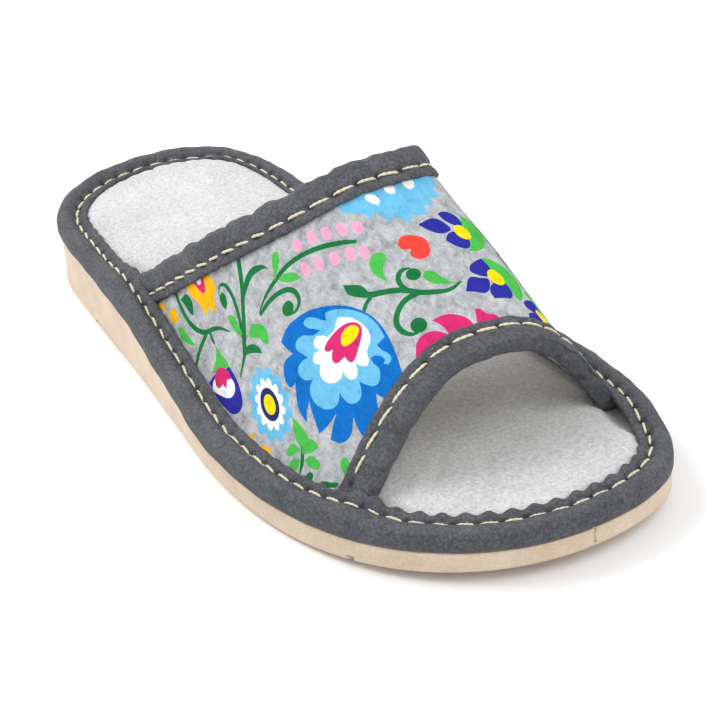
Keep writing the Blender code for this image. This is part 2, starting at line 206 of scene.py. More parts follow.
def flap_top(y, side):
    return sole_top(y) + EDGE_HEIGHT + TUCK_RISE * tuck(y, side)


# %% [markdown]
# The upper is an arch that stands on the binding's inner edge. A point on it has two numbers:
# across, from -1 at the inner foot to 1 at the outer foot, and its place y along the slipper.

# %% The arch of the upper
FOOT = {side: side_table(EDGE_WIDTH + GAP, side) for side in (1, -1)}


def arch(across, y):
    """Outer face of the felt. Past its feet it runs on flat as a sewing margin."""
    outer, inner = np.interp(y, *FOOT[1]), np.interp(y, *FOOT[-1])
    share = y / LENGTH + 0.5
    lean = ARCH_LEAN * (1.0 - smooth_step(LEAN_FROM, LEAN_TO, share))
    x = (outer + inner) / 2.0 + (outer - inner) / 2.0 * across - lean * (1.0 - across * across)
    side = np.where(across > 0, 1, -1)
    forward_share = smooth_step(COLLAR_MIDDLE, TOE_EDGE_MIDDLE, share)
    boxy = ARCH_SHOULDER_INNER + (ARCH_SHOULDER_TOE - ARCH_SHOULDER_INNER) * forward_share
    shoulder = np.where(across > 0, ARCH_SHOULDER_OUTER, boxy)
    profile = np.maximum(1.0 - np.abs(across) ** shoulder, 0.0) ** ARCH_FLARE
    rear, front = place_of(COLLAR_MIDDLE), place_of(TOE_EDGE_MIDDLE)
    rise = COLLAR_RISE + (TOE_OPENING_RISE - COLLAR_RISE) * (y - rear) / (front - rear)
    z = flap_top(y, side) - EDGE_STRIP - GAP + rise * profile
    return np.stack((x, y + 0.0 * x, z), axis=-1)


def steep_arch(across, y):
    """The arch, but running straight on down past its steepest part, for strips that cross it."""
    held = np.clip(across, -LAST_STEEP, LAST_STEEP)
    here = arch(held, y)
    slope = (here - arch(held - np.sign(across) * 0.01, y)) / 0.01
    return here + slope * (np.abs(across) - np.abs(held))[..., None]


def unit(vectors):
    return vectors / np.maximum(np.linalg.norm(vectors, axis=-1, keepdims=True), 1e-12)


def tangents(across, y):
    """How a point of the arch moves with across and with y."""
    small, short = 0.004, 0.0004
    by_across = (steep_arch(across + small, y) - steep_arch(across - small, y)) / (2 * small)
    by_length = (steep_arch(across, y + short) - steep_arch(across, y - short)) / (2 * short)
    return by_across, by_length


def outward(across, y):
    by_across, by_length = tangents(across, y)
    return unit(np.cross(by_across, by_length))


def steps_for(by_across, by_length, way):
    """Steps in across and y that move a point of the arch along a way in space."""
    aa, al = (by_across**2).sum(-1), (by_across * by_length).sum(-1)
    ll = (by_length**2).sum(-1)
    wa, wl = (by_across * way).sum(-1), (by_length * way).sum(-1)
    part = aa * ll - al * al
    return (wa * ll - wl * al) / part, (wl * aa - wa * al) / part


def collar_edge(across):
    middle = place_of(COLLAR_MIDDLE)
    curve = np.where(across > 0, COLLAR_CURVE_OUTER, COLLAR_CURVE_INNER)
    return middle + (place_of(COLLAR_SIDE) - middle) * np.abs(across) ** curve


def toe_edge(across):
    middle = place_of(TOE_EDGE_MIDDLE)
    end = place_of(np.where(across > 0, TOE_EDGE_OUTER, TOE_EDGE_INNER))
    return middle + (end - middle) * np.abs(across) ** TOE_EDGE_CURVE


def nearest(points, line):
    """Distance from each point to the nearest point of a line, and which one it is."""
    found = np.empty(len(points), int)
    away = np.empty(len(points))
    for start in range(0, len(points), 2000):
        part = points[start : start + 2000]
        gaps = np.linalg.norm(part[:, None, :] - line[None, :, :], axis=2)
        found[start : start + 2000] = gaps.argmin(axis=1)
        away[start : start + 2000] = gaps.min(axis=1)
    return away, found


def corners_of(name):
    """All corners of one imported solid."""
    flat = np.empty(len(nodes[name].data.vertices) * 3, np.float32)
    nodes[name].data.vertices.foreach_get("co", flat)
    return flat.reshape(-1, 3)


def say_fit(name, points):
    """How far the solid's corners are from the points of the finer piece."""
    away, _ = nearest(corners_of(name)[::3].astype(float), points.reshape(-1, 3))
    print(name, "solid to piece: median", round(float(np.median(away)) * 1000, 2), "mm")


# %% [markdown]
# Every long piece of this slipper is a sheet or a tube that follows a curve. The quickest way
# to such a form is Blender's grid primitive: its corners are put on a table of points, and
# where the first and last columns meet they are merged. A pole or a seam closes the same way.

# %% A grid put on a table of points
SAME_CORNER = 0.000004


def only(*pieces):
    """Selects some objects and nothing else, and makes the first of them the active one."""
    bpy.ops.object.select_all(action="DESELECT")
    for piece in pieces:
        piece.select_set(True)
    bpy.context.view_layer.objects.active = pieces[0]


def in_edit_mode(piece, *steps):
    """Runs steps of edit mode on a whole piece."""
    only(piece)
    bpy.ops.object.mode_set(mode="EDIT")
    bpy.ops.mesh.select_all(action="SELECT")
    for step in steps:
        step()
    bpy.ops.object.mode_set(mode="OBJECT")


def turn_outwards():
    bpy.ops.mesh.normals_make_consistent(inside=False)


def merge_and_turn():
    bpy.ops.mesh.remove_doubles(threshold=SAME_CORNER)
    turn_outwards()


def put(mesh, points):
    """Puts a mesh's corners on a list of points."""
    mesh.vertices.foreach_set("co", np.ascontiguousarray(points, dtype=np.float32).ravel())
    mesh.update()


def got(mesh):
    """A mesh's corners as an array."""
    flat = np.empty(len(mesh.vertices) * 3, np.float32)
    mesh.vertices.foreach_get("co", flat)
    return flat.reshape(-1, 3).astype(float)


def paint(mesh, name, values):
    """Stores one number for each corner, for a material to read."""
    layer = mesh.attributes.new(name, "FLOAT", "POINT")
    layer.data.foreach_set("value", np.ascontiguousarray(values, dtype=np.float32).ravel())


def net(name, points, painted_light=None, round_way=False, close_ends=False):
    """A grid primitive on a table of points, with rows first. round_way joins last column to first."""
    if round_way:
        points = np.concatenate((points, points[:, :1]), axis=1)
        painted_light = None if painted_light is None else np.concatenate((painted_light, painted_light[:, :1]), axis=1)
    rows, columns = points.shape[:2]
    bpy.ops.object.select_all(action="DESELECT")
    bpy.ops.mesh.primitive_grid_add(x_subdivisions=columns - 1, y_subdivisions=rows - 1, size=2)
    piece = bpy.context.object
    piece.name = piece.data.name = name
    flat = got(piece.data)
    column = np.rint((flat[:, 0] + 1) / 2 * (columns - 1)).astype(int)
    row = np.rint((flat[:, 1] + 1) / 2 * (rows - 1)).astype(int)
    put(piece.data, points[row, column])
    # A strip's painted shade and painted highlight are stored in a corner attribute for its material.
    if painted_light is not None:
        paint(piece.data, "painted_light", painted_light[row, column])
    steps = [merge_and_turn]
    if close_ends:
        steps = [merge_and_turn, lambda: bpy.ops.mesh.select_all(action="DESELECT")]
        steps += [bpy.ops.mesh.select_non_manifold, bpy.ops.mesh.edge_face_add]
        steps += [lambda: bpy.ops.mesh.select_all(action="SELECT"), merge_and_turn]
    in_edit_mode(piece, *steps)
    bpy.ops.object.shade_smooth()
    return piece


def applied(piece, kind, **settings):
    """Adds a modifier with its settings and applies it."""
    only(piece)
    added = piece.modifiers.new(kind.lower(), kind)
    for setting, value in settings.items():
        setattr(added, setting, value)
    bpy.ops.object.modifier_apply(modifier=added.name)


def turn_face_up(piece):
    """Turns a sheet's faces over where the highest one looks down."""
    top_face = max(piece.data.polygons, key=lambda face: face.center.z)
    if top_face.normal.z < 0:
        in_edit_mode(piece, bpy.ops.mesh.flip_normals)


def joined(pieces):
    """Joins objects into the first of them."""
    only(*pieces)
    bpy.ops.object.join()
    return bpy.context.object


def wander(run, waves, seed):
    """A smooth irregular wave along a line: some seeded sines of given lengths and heights."""
    draws = np.random.default_rng(seed)
    total = np.zeros(np.shape(run))
    for length, height in waves:
        stretch = length * draws.uniform(0.8, 1.25)
        total += height * np.sin(2 * math.pi * (run / stretch + draws.uniform()))
    return total


# %% [markdown]
# ## Sole
#
# The sole is one block of soft foam, cut to the outline, with a low wedge under the heel, a
# toe spring and shallow cross grooves. It is made as a tube of cross sections from heel to toe:
# up one side, over the top, down the other side and back under the tread. The grooves are
# cubes, cut out with a Boolean, as a maker cuts them with a mill.

# %% Cross sections through a body of rings
def ring_points(turns, inset, level):
    """A closed line round the slipper at an inset and a level, both for place and side."""
    side = np.where(np.sin(turns) >= -1e-9, 1, -1)
    line = on_line(turns, LINE)
    moved = line + on_line(turns, INWARDS) * np.reshape(inset(line[:, 1], side), (-1, 1))
    return np.column_stack((moved, level(moved[:, 1], side) + 0.0 * moved[:, 1]))


STATIONS, SOLE_FILL, INSOLE_FILL = 176, 12, 92
half_turns = np.linspace(0, math.pi, STATIONS + 1)
body_turns = np.concatenate((half_turns, 2 * math.pi - half_turns[1:-1][::-1]))


def body(rings, fill):
    """A closed body from rings given as inset and level functions, from the tread upwards.

    Its top and its underside are filled with a number of points from side to side.
    """
    lines = [ring_points(body_turns, inset, level) for inset, level in rings]
    half = STATIONS + 1
    outer = np.stack([line[:half] for line in lines], axis=1)
    inner = np.stack([np.vstack((line[:1], line[half - 1 :][::-1])) for line in lines], axis=1)
    share = np.linspace(0, 1, fill)[1:-1, None]
    loops = []
    for up, back in zip(outer, inner):
        down = back[::-1]
        top = up[-1] + (down[0] - up[-1]) * share
        under = down[-1] + (up[0] - down[-1]) * share
        loops.append(np.concatenate((up, top, down, under)))
    return np.array(loops)


# %% The block of the sole
def flat_inset(value):
    return lambda y, side: value + 0.0 * y


def from_bottom(height):
    return lambda y, side: sole_bottom(y, side) + height


def from_top(height):
    return lambda y, side: sole_top(y) - height


def part_way(share):
    """A level between the tread's edge and the sole's top."""
    def level(y, side):
        low, high = sole_bottom(y, side) + SOLE_BEVEL, sole_top(y) - SOLE_BEVEL / 2
        return low + (high - low) * share
    return level


WALL_BOW = 0.00045


def wall_bow(share):
    """The foam's cut wall is drawn in a little half way up."""
    return flat_inset(SOLE_INSET + WALL_BOW * np.sin(math.pi * share))


sole_rings = [
    (flat_inset(SOLE_INSET + SOLE_BEVEL), from_bottom(0.0)),
    (flat_inset(SOLE_INSET + SOLE_BEVEL * 0.42), from_bottom(SOLE_BEVEL * 0.22)),
    (flat_inset(SOLE_INSET + SOLE_BEVEL * 0.08), from_bottom(SOLE_BEVEL * 0.62)),
]
sole_rings += [(wall_bow(share), part_way(share)) for share in (0.0, 0.2, 0.4, 0.6, 0.8, 1.0)]
sole_rings += [
    (flat_inset(SOLE_INSET + SOLE_BEVEL * 0.12), from_top(SOLE_BEVEL * 0.2)),
    (flat_inset(SOLE_INSET + SOLE_BEVEL / 2), from_top(0.0)),
]
sole_points = body(sole_rings, SOLE_FILL)
say_fit("outsole", sole_points)
sole = net("sole", sole_points, round_way=True)

# %% [markdown]
# Two of the grooves run out at the sole's edge, where they show from the side. The foam also
# has one small nick, cut in the same way at the tip of the toe.

# %% The grooves of the tread and the nick at the toe
HEEL_GROOVES, FOREFOOT_GROOVES, OPEN_GROOVES = 4, 6, (3, 8)
NICK_PLACE, NICK_SIZE = (-0.0103, 0.1246, 0.0078), (0.0009, 0.0018, 0.0056)
SHARP_EDGE = math.radians(38)


def mill(location, scale):
    """A cube the size of one cut."""
    bpy.ops.object.select_all(action="DESELECT")
    bpy.ops.mesh.primitive_cube_add(size=1, location=location, scale=scale)
    bpy.ops.object.transform_apply(location=True, rotation=False, scale=True)
    return bpy.context.object


groove_places = [place_of(HEEL_TREAD) + TREAD_PITCH * bar for bar in range(HEEL_GROOVES)]
groove_places += [place_of(FOREFOOT_TREAD) + TREAD_PITCH * bar for bar in range(FOREFOOT_GROOVES)]
cuts = []
for bar, y in enumerate(groove_places):
    margin = -TREAD_MARGIN if bar in OPEN_GROOVES else TREAD_MARGIN
    inner, outer = (float(np.interp(y, *side_table(margin, side))) for side in (-1, 1))
    top, low = float(sole_bottom(y, 1)) + TREAD_DEPTH, -TREAD_DEPTH
    middle = ((inner + outer) / 2, y, (top + low) / 2)
    cuts.append(mill(middle, (outer - inner, TREAD_WIDTH, top - low)))
cuts.append(mill(NICK_PLACE, NICK_SIZE))
cutter = joined(cuts)
applied(sole, "BOOLEAN", operation="DIFFERENCE", solver="EXACT", object=cutter)
bpy.data.objects.remove(cutter, do_unlink=True)
only(sole)
bpy.ops.object.shade_smooth_by_angle(angle=SHARP_EDGE)
print("sole:", len(sole.data.polygons), "faces,", len(groove_places), "grooves")

# %% [markdown]
# ## Edge binding and its seam
#
# A strip of nubuck is folded over the edge all round and sewn down through its flap. The
# needle pulls the strip in at every hole and leaves a small pillow between two holes, so the
# seam is worked out first: 93 stitches of about 6.1 mm, with eight columns of faces for each.

# %% Where the seam of the edge binding runs
EDGE_STITCHES, PER_STITCH = 93, 8
EDGE_SEAM = 0.0058
edge_turns, seam_length = even_turns(EDGE_SEAM, EDGE_STITCHES * PER_STITCH)
edge_pitch = seam_length / EDGE_STITCHES
edge_line = on_line(edge_turns, LINE)
edge_inwards = on_line(edge_turns, INWARDS)
edge_side = np.where(np.sin(edge_turns) >= 0, 1, -1)
edge_run = np.arange(len(edge_turns)) * seam_length / len(edge_turns)
print("edge seam", round(seam_length, 4), "m, stitch", round(edge_pitch * 1000, 2), "mm")


def to_hole(run, pitch):
    """Distance along a seam to the nearest needle hole."""
    return np.abs((run / pitch + 0.5) % 1.0 - 0.5) * pitch


FOOT_ENDS = [(collar_edge, 1.0), (collar_edge, -1.0), (toe_edge, 1.0), (toe_edge, -1.0)]
foot_points = np.array([arch(np.array(way), edge(np.array(way))) for edge, way in FOOT_ENDS])
rounding = smooth_step(0.055, 0.105, np.abs(edge_line[:, 1]))
forefoot = smooth_step(0.070, 0.100, edge_line[:, 1])

# %% [markdown]
# Round the heel the strip is pulled tighter: its flap sinks behind a rolled rim and reaches a
# little further in. Along the inner waist the flap is cut narrower. These parts of the outline
# are given by where they start and end along Y, and the sizes of the relief come with them.

# %% Relief of the flap
HEEL_OUTER_ENDS, HEEL_INNER_ENDS = (-0.105, -0.062), (-0.122, -0.109)
WAIST_STARTS, WAIST_ENDS = (-0.120, -0.100), (-0.050, -0.030)
HEEL_SINK, HEEL_REACH, WAIST_CUT, SEAM_SINK = 0.0011, 0.0006, 0.0012, 0.00080
PILLOW_START, PILLOW_RISE = 0.0018, 0.00034
SEAM_GROOVE, HOLE_GROOVE, SEAM_WIDTH, HOLE_WIDTH = 0.00050, 0.00048, 0.00085, 0.0011
FOOT_BUMP, FOOT_BUMP_WIDTH, FLAP_WANDER, LIP_EDGE = 0.0016, 0.0064, 0.00010, 0.0008


def heel_part(y, side):
    """1 round the heel and 0 in front of it. It ends sooner on the inner side."""
    inner = 1.0 - smooth_step(*HEEL_INNER_ENDS, y)
    return np.where(side > 0, 1.0 - smooth_step(*HEEL_OUTER_ENDS, y), inner)


def waist_part(y, side):
    """1 along the inner side behind the arch, where the flap is cut narrower."""
    inner = smooth_step(*WAIST_STARTS, y) * (1.0 - smooth_step(*WAIST_ENDS, y))
    return np.where(side > 0, 0.0, inner)


def drawn_down(inset, y, side):
    """How far the seam pulls the flap down behind the rolled rim, most of all round the heel."""
    groove = SEAM_SINK * bell(inset - EDGE_SEAM, 0.0016)
    return groove + HEEL_SINK * heel_part(y, side) * smooth_step(0.0022, EDGE_SEAM, np.array(inset))


def edge_relief(depth):
    """Rise of the flap's surface at one distance from the outer edge, all round."""
    hole = bell(to_hole(edge_run, edge_pitch), HOLE_WIDTH)
    pillow = np.sin(math.pi * np.clip((depth - PILLOW_START) / (EDGE_SEAM - PILLOW_START), 0, 1))
    rise = PILLOW_RISE * pillow * (1 + 0.5 * wander(edge_run, ((0.021, 0.5), (0.0093, 0.4)), 5))
    rise = rise - (SEAM_GROOVE + HOLE_GROOVE * hole) * bell(depth - EDGE_SEAM, SEAM_WIDTH)
    lip = smooth_step(EDGE_SEAM + LIP_EDGE, EDGE_WIDTH - LIP_EDGE, np.array(depth))
    ripple = np.cos(2 * math.pi * edge_run / edge_pitch)
    rise = rise - lip * (0.00012 + 0.00016 * rounding + 0.00022 * forefoot) * ripple
    rise = rise + FLAP_WANDER * wander(edge_run, ((0.0131, 1.0), (0.0057, 0.8)), 9)
    here = edge_line + edge_inwards * depth
    for place in foot_points:
        away = np.linalg.norm(here - place[:2], axis=1)
        rise = rise + FOOT_BUMP * bell(away, FOOT_BUMP_WIDTH)
    return rise


def edge_painted_light(depth):
    """Painted shade, darker in the needle holes, and a painted highlight, a little lighter along the
    top of the rolled rim.
    """
    hole = bell(to_hole(edge_run, edge_pitch), 0.0010) * bell(depth - EDGE_SEAM, 0.0010)
    painted_highlight = bell(depth - 0.0022, 0.0012) * (0.5 + wander(edge_run, ((0.034, 0.3), (0.012, 0.2)), 3))
    return 0.25 * painted_highlight - hole


# %% The strip in section, from its foot over the top and back under the flap
WOBBLE, SCALLOP, FOOT_COVER = 0.00022, 0.00040, 0.0009
wobble = WOBBLE * wander(edge_run, ((0.0125, 1.0), (0.0317, 1.0)), 21)
scallop = SCALLOP * (np.sin(math.pi * edge_run / edge_pitch) ** 2 - 0.5)
scallop = scallop * (0.35 + 0.25 * rounding + 0.55 * forefoot)
scallop = scallop * (1 + 0.4 * wander(edge_run, ((0.017, 1.0),), 15))
section = []
for inset, height in ((EDGE_STRIP, 0.0003), (0.0006, 0.0003), (0.0002, 0.0006), (0.0, 0.0014)):
    section.append((inset, height, 0.0, None))
for angle in np.radians(np.arange(0, 91, 15)):
    inset, fall = EDGE_ROUND * (1 - math.cos(angle)), EDGE_ROUND * (1 - math.sin(angle))
    section.append((inset, None, fall, inset if angle > 0.7 else None))
for depth in np.linspace(0.0032, EDGE_WIDTH - LIP_EDGE, 13):
    section.append((depth, None, 0.0, depth))
for inset, fall in ((0.0003, 0.00010), (0.0001, 0.00045), (0.0, 0.0009), (0.0001, EDGE_STRIP)):
    section.append((EDGE_WIDTH - inset, None, fall, EDGE_WIDTH - inset))
section += [(0.0060, None, EDGE_STRIP, None), (EDGE_ROUND, None, EDGE_STRIP, None)]
section += [(EDGE_STRIP, None, EDGE_ROUND, None)]
edge_heel = heel_part(edge_line[:, 1], edge_side)
columns, painted_lights = [], []
lip_line = edge_line + edge_inwards * EDGE_WIDTH
cover = sum(bell(np.linalg.norm(lip_line - place[:2], axis=1), 0.0060) for place in foot_points)
for inset, height, fall, depth in section:
    inward = smooth_step(EDGE_SEAM, EDGE_WIDTH, np.array(inset))
    reach = inset + wobble * (1 - inward) * (0.0 if inset > 0.0004 and height is not None else 0.5)
    reach = reach + (scallop + FOOT_COVER * cover) * inward
    reach = reach + HEEL_REACH * edge_heel * smooth_step(0.0025, EDGE_SEAM, np.array(inset))
    reach = reach - WAIST_CUT * waist_part(edge_line[:, 1], edge_side) * inward
    place = edge_line + edge_inwards * np.maximum(reach, -0.0002)[:, None]
    if height is not None:
        level = sole_top(edge_line[:, 1]) + height
    else:
        level = flap_top(edge_line[:, 1], edge_side) - fall
        level = level - drawn_down(inset, edge_line[:, 1], edge_side)
    if depth is not None:
        level = level + edge_relief(depth)
    columns.append(np.column_stack((place, level)))
    # Each column carries the painted shade of the needle holes and the painted highlight of the rim.
    painted_lights.append(edge_painted_light(inset) if depth is not None else 0.0 * edge_run)
edge_points, edge_painted_lights = np.stack(columns, axis=1), np.stack(painted_lights, axis=1)
edge_points = np.concatenate((edge_points, edge_points[:1]), axis=0)
edge_painted_lights = np.concatenate((edge_painted_lights, edge_painted_lights[:1]), axis=0)
say_fit("edge_binding", edge_points)
edge_strip = net("edge_strip", edge_points, painted_light=edge_painted_lights, round_way=True)
print("edge_strip:", len(edge_strip.data.polygons), "faces")

# %% [markdown]
# ## Insole
#
# The insole is a thin pad under soft microsuede. The flap presses its edge down, so it swells
# up just inside the seam, in small puffs between the stitches, and lies in long shallow
# creases. A pad this thin needs no cloth simulation: it is a body of cross sections whose top
# is raised by a height worked out from the distance to the flap.

# %% The pad
PUFF, HEEL_SEAT, PAD_SHOULDER, PAD_SINK = 0.00042, 0.0016, 0.0012, 0.0007
PAD_SWELL, PAD_UNDER_LIP, PAD_WANDER = 0.0030, 0.0004, 0.00012


def insole_margin(y, side):
    """Level of the pad's pressed edge, under the flap and the felt's margin."""
    pressed = (UPPER_WALL + GAP) * tuck(y, side)
    return flap_top(y, side) - EDGE_STRIP - GAP - pressed - HEEL_SINK * heel_part(y, side)


def crown_inset(y, side):
    """Where the pad comes out from under the flap."""
    inset = EDGE_WIDTH - PAD_UNDER_LIP + (UPPER_WALL + 2 * GAP) * tuck(y, side)
    return inset + HEEL_REACH * heel_part(y, side) - WAIST_CUT * waist_part(y, side)


def below_margin(depth):
    return lambda y, side: insole_margin(y, side) - depth


insole_rings = [
    (flat_inset(EDGE_STRIP + GAP), from_top(-GAP)),
    (flat_inset(EDGE_STRIP + GAP), below_margin(PAD_SHOULDER)),
    (flat_inset(2 * EDGE_STRIP + GAP), insole_margin),
    (flat_inset(0.0060), below_margin(PAD_SINK)),
    (crown_inset, insole_margin),
]
insole_points = body(insole_rings, INSOLE_FILL)
rows, loop = insole_points.shape[:2]
flat = insole_points.reshape(-1, 3)
top_part = np.zeros((rows, loop), bool)
top_part[:, len(insole_rings) - 1 : len(insole_rings) + INSOLE_FILL - 1] = True
top_part = top_part.ravel()
print("insole: rings of", loop, "points,", rows, "of them")

# %% [markdown]
# A fold of the pad's cover has a middle, a width, a direction in degrees, a length and a depth.
# The flap's puffs follow the needle holes, and the rest is a soft unevenness.

# %% Its puffs and folds
FOLDS = (
    ((0.012, -0.036), 0.0016, 84, 0.030, 0.00042),
    ((0.004, -0.030), 0.0019, 88, 0.036, 0.00036),
    ((-0.006, -0.028), 0.0017, 94, 0.032, 0.00040),
    ((0.019, -0.058), 0.0016, 80, 0.020, 0.00026),
    ((-0.012, -0.052), 0.0018, 99, 0.022, 0.00030),
    ((0.018, 0.092), 0.0017, 52, 0.016, 0.00034),
    ((0.004, 0.098), 0.0016, 74, 0.014, 0.00026),
    ((-0.014, 0.094), 0.0017, 112, 0.016, 0.00030),
    ((0.026, 0.078), 0.0015, 40, 0.014, 0.00028),
)
crown_line = ring_points(edge_turns, crown_inset, insole_margin)
away, which = nearest(flat[top_part][:, :2], crown_line[:, :2])
x, y = flat[top_part][:, 0], flat[top_part][:, 1]
run = edge_run[which]
side = edge_side[which]
base = sole_top(y) + EDGE_HEIGHT - EDGE_STRIP - GAP
base = base - HEEL_SEAT * heel_part(y, 1) * smooth_step(-0.028, -0.004, x)
pressed = insole_margin(y, side)
swell = 1 - np.exp(-away / PAD_SWELL)
top = pressed + (base + CROWN - pressed) * swell
puff = np.abs(np.sin(math.pi * run / edge_pitch)) * (0.35 + 0.65 * smooth_step(0.05, 0.10, np.abs(y)))
top = top + PUFF * puff * bell(away - 0.0016, 0.0016)
for middle, spread, turn, length, low in FOLDS:
    c, s = math.cos(math.radians(turn)), math.sin(math.radians(turn))
    along = (x - middle[0]) * c + (y - middle[1]) * s
    off = -(x - middle[0]) * s + (y - middle[1]) * c + 0.0012 * np.sin(along / 0.009)
    top = top - low * bell(off, spread) * bell(along, length)
    top = top + 0.6 * low * bell(np.abs(off) - 1.9 * spread, spread) * bell(along, length)
uneven = wander(x, ((0.023, 1), (0.011, 0.7)), 31) * wander(y, ((0.041, 1), (0.017, 0.7)), 32)
top = top + PAD_WANDER * uneven
flat[top_part, 2] = top
insole_points = flat.reshape(rows, loop, 3)
say_fit("insole", insole_points)
insole = net("insole_pad", insole_points, round_way=True)
print("insole_pad:", len(insole.data.polygons), "faces")

# %% [markdown]
# ## Printed felt
#
# The felt is bought by the metre with its flowers already printed, then cut and sewn. So the
# flowers are drawn here on the flat cloth too, in millimetres, and the cloth is laid over the
# arch by walking across its surface from the middle. Each flower keeps its size that way.
#
# The drawing becomes part of the mesh: a Delaunay triangulation takes the outlines as edges,
# so each colour ends on an edge of the mesh, as sharp as ink, with no picture involved.

# %% Laying flat cloth over the arch
CLOTH_MIDDLE, LAY_STEPS = (0.0, 0.055), 24
STEEP_END, CLOTH_END = 0.97, 1.2


def lay(u, v):
    """Across and y of points given in metres on the flat cloth, u to the outer side, v to the toe."""
    across, y = np.full(u.shape, CLOTH_MIDDLE[0]), np.full(u.shape, CLOTH_MIDDLE[1])
    by_across, by_length = tangents(across, y)
    first = unit(by_across)
    second = np.cross(unit(np.cross(by_across, by_length)), first)
    way = (u[..., None] * first + v[..., None] * second) / LAY_STEPS
    pace = np.linalg.norm(way, axis=-1, keepdims=True)
    for _ in range(LAY_STEPS):
        da, dl = steps_for(by_across, by_length, way)
        half_way = np.clip(across + da / 2, -STEEP_END, STEEP_END)
        da, dl = steps_for(*tangents(half_way, y + dl / 2), way)
        across, y = np.clip(across + da, -CLOTH_END, CLOTH_END), y + dl
        by_across, by_length = tangents(np.clip(across, -STEEP_END, STEEP_END), y)
        up = unit(np.cross(by_across, by_length))
        way = unit(way - up * (way * up).sum(-1, keepdims=True)) * pace
    return across, y


# %% [markdown]
# The pattern is the old folk kind: round layered flowers, small daisies, buds, curled stems and
# leaves. A shape is a list of points on the flat cloth, in millimetres, that a smooth line
# runs through. A stem is the same with a width.

# %% The inks
INKS = {
    "blue": (0, 112, 198),
    "light": (110, 192, 232),
    "white": (250, 250, 252),
    "magenta": (220, 46, 114),
    "yellow": (252, 226, 10),
    "orange": (255, 188, 10),
    "red": (250, 72, 62),
    "navy": (46, 48, 158),
    "ring": (40, 50, 110),
    "leaf": (80, 190, 80),
    "stem": (28, 118, 64),
    "pink": (250, 168, 200),
}

# %% The charted flowers
BIG_FLOWER = (
    ("blue", [(20.5, 30), (18.8, 24), (17.8, 19), (17.3, 14), (17.6, 9), (18.6, 5.5), (20.2, 2.4),
              (22.5, -0.8), (26, -3.9), (30, -6.5), (34, -8.4), (37.5, -9.3), (41, -9.2),
              (44.6, -7.6, 1), (44, -5), (43, -2, 1), (45, -2.4), (46.8, -2.2), (48.6, 0), (49.2, 3),
              (48.5, 5), (46.6, 4.8, 1), (48.4, 8), (49.8, 12), (49.4, 16.8, 1), (48, 14.4),
              (45.6, 12.4, 1), (46.6, 16), (47.8, 22.2, 1), (44.6, 22.5), (40.5, 21.8, 1),
              (43, 23.6), (45.8, 26.2, 1), (44, 29), (41.5, 30), (39, 28.9), (36.7, 26.4, 1),
              (37.3, 29.5), (37.4, 32.2, 1), (33, 32.4), (30, 30), (28.1, 25.8, 1), (27, 28),
              (25.5, 30), (23, 31)]),
    ("light", [(18.2, 14, 1), (18.1, 10), (19, 6), (20.6, 3), (23, 0), (26, -2.4), (28.6, -3.4),
               (29.3, -1.5, 1), (30.6, -2.9), (32.2, -5.2), (34, -6.7), (35.8, -6.4), (35.4, -4.4),
               (33.8, -2.6), (32.3, -0.8, 1), (34.4, -1.1), (36, -2.2), (37.5, -3.6), (39.5, -4.1),
               (41, -3.3), (41.2, -1.4), (40.2, 0.8), (39.5, 2.5, 1), (41.4, 1.9), (43.4, 2.2),
               (44.5, 4), (43.6, 6.8), (41.5, 8.5, 1), (43.4, 9.6), (44.4, 12), (44.2, 15),
               (42.6, 18.3), (40, 20), (37.9, 19.5), (36.5, 17.8, 1), (36.5, 20), (35.6, 22.7),
               (33.4, 23.9), (31.3, 22.8), (30.2, 19.5, 1), (29.3, 21.4), (28, 23.2), (26.3, 23.9),
               (24.5, 22.6), (23.8, 20.4), (24.4, 18.4), (24.2, 16.6, 1), (22.6, 17), (21.4, 18.6),
               (21.3, 19.8), (22.2, 20.3, 1), (21.2, 21.3), (19.8, 20.6), (19.6, 19), (20.6, 16.8),
               (21.1, 14.6, 1)]),
    ("white", [(21.4, 11.4), (21, 9), (21.6, 6.2), (22.8, 3.5), (24.6, 1.5), (26, 0.4, 1),
               (27.2, 0.9), (29, 2.4), (31.6, 2.4, 1), (32.6, 0.8), (34.4, -0.3), (35.9, 0.2),
               (36.2, 2), (35.4, 3.6, 1), (37.2, 3), (38.6, 4.2), (38.4, 5.8), (37.2, 7, 1),
               (38.6, 8.6), (38.9, 11), (37.8, 13.3), (35.6, 14.9), (33.6, 14.7), (32.5, 13.4, 1),
               (32.7, 15.6), (32, 17.4), (30.6, 18.1), (29.2, 17.2), (28.4, 14.4, 1), (27.8, 16.2),
               (26.2, 17.7), (24.9, 16.6), (24.2, 14.2), (22.6, 13)]),
    ("magenta", [(22.1, 7.6), (22.5, 5.3), (24.6, 3.6), (27.5, 3), (30.5, 3.1), (33, 3.6),
                 (34.3, 4.6), (33.7, 5.8), (32, 6.5, 1), (33.4, 7.9), (33.7, 9.6), (32.6, 10.8),
                 (30.1, 10.9, 1), (30, 12.4), (29.2, 13.8), (27.6, 13.4), (25.4, 11.6), (23.4, 9.7)]),
    ("yellow", [(22.8, 7.2), (23.4, 5.4), (25.4, 4.5), (27.6, 5), (29, 6.9), (28.6, 8.5),
                (26.6, 9.1), (24.2, 8.6)]),
)
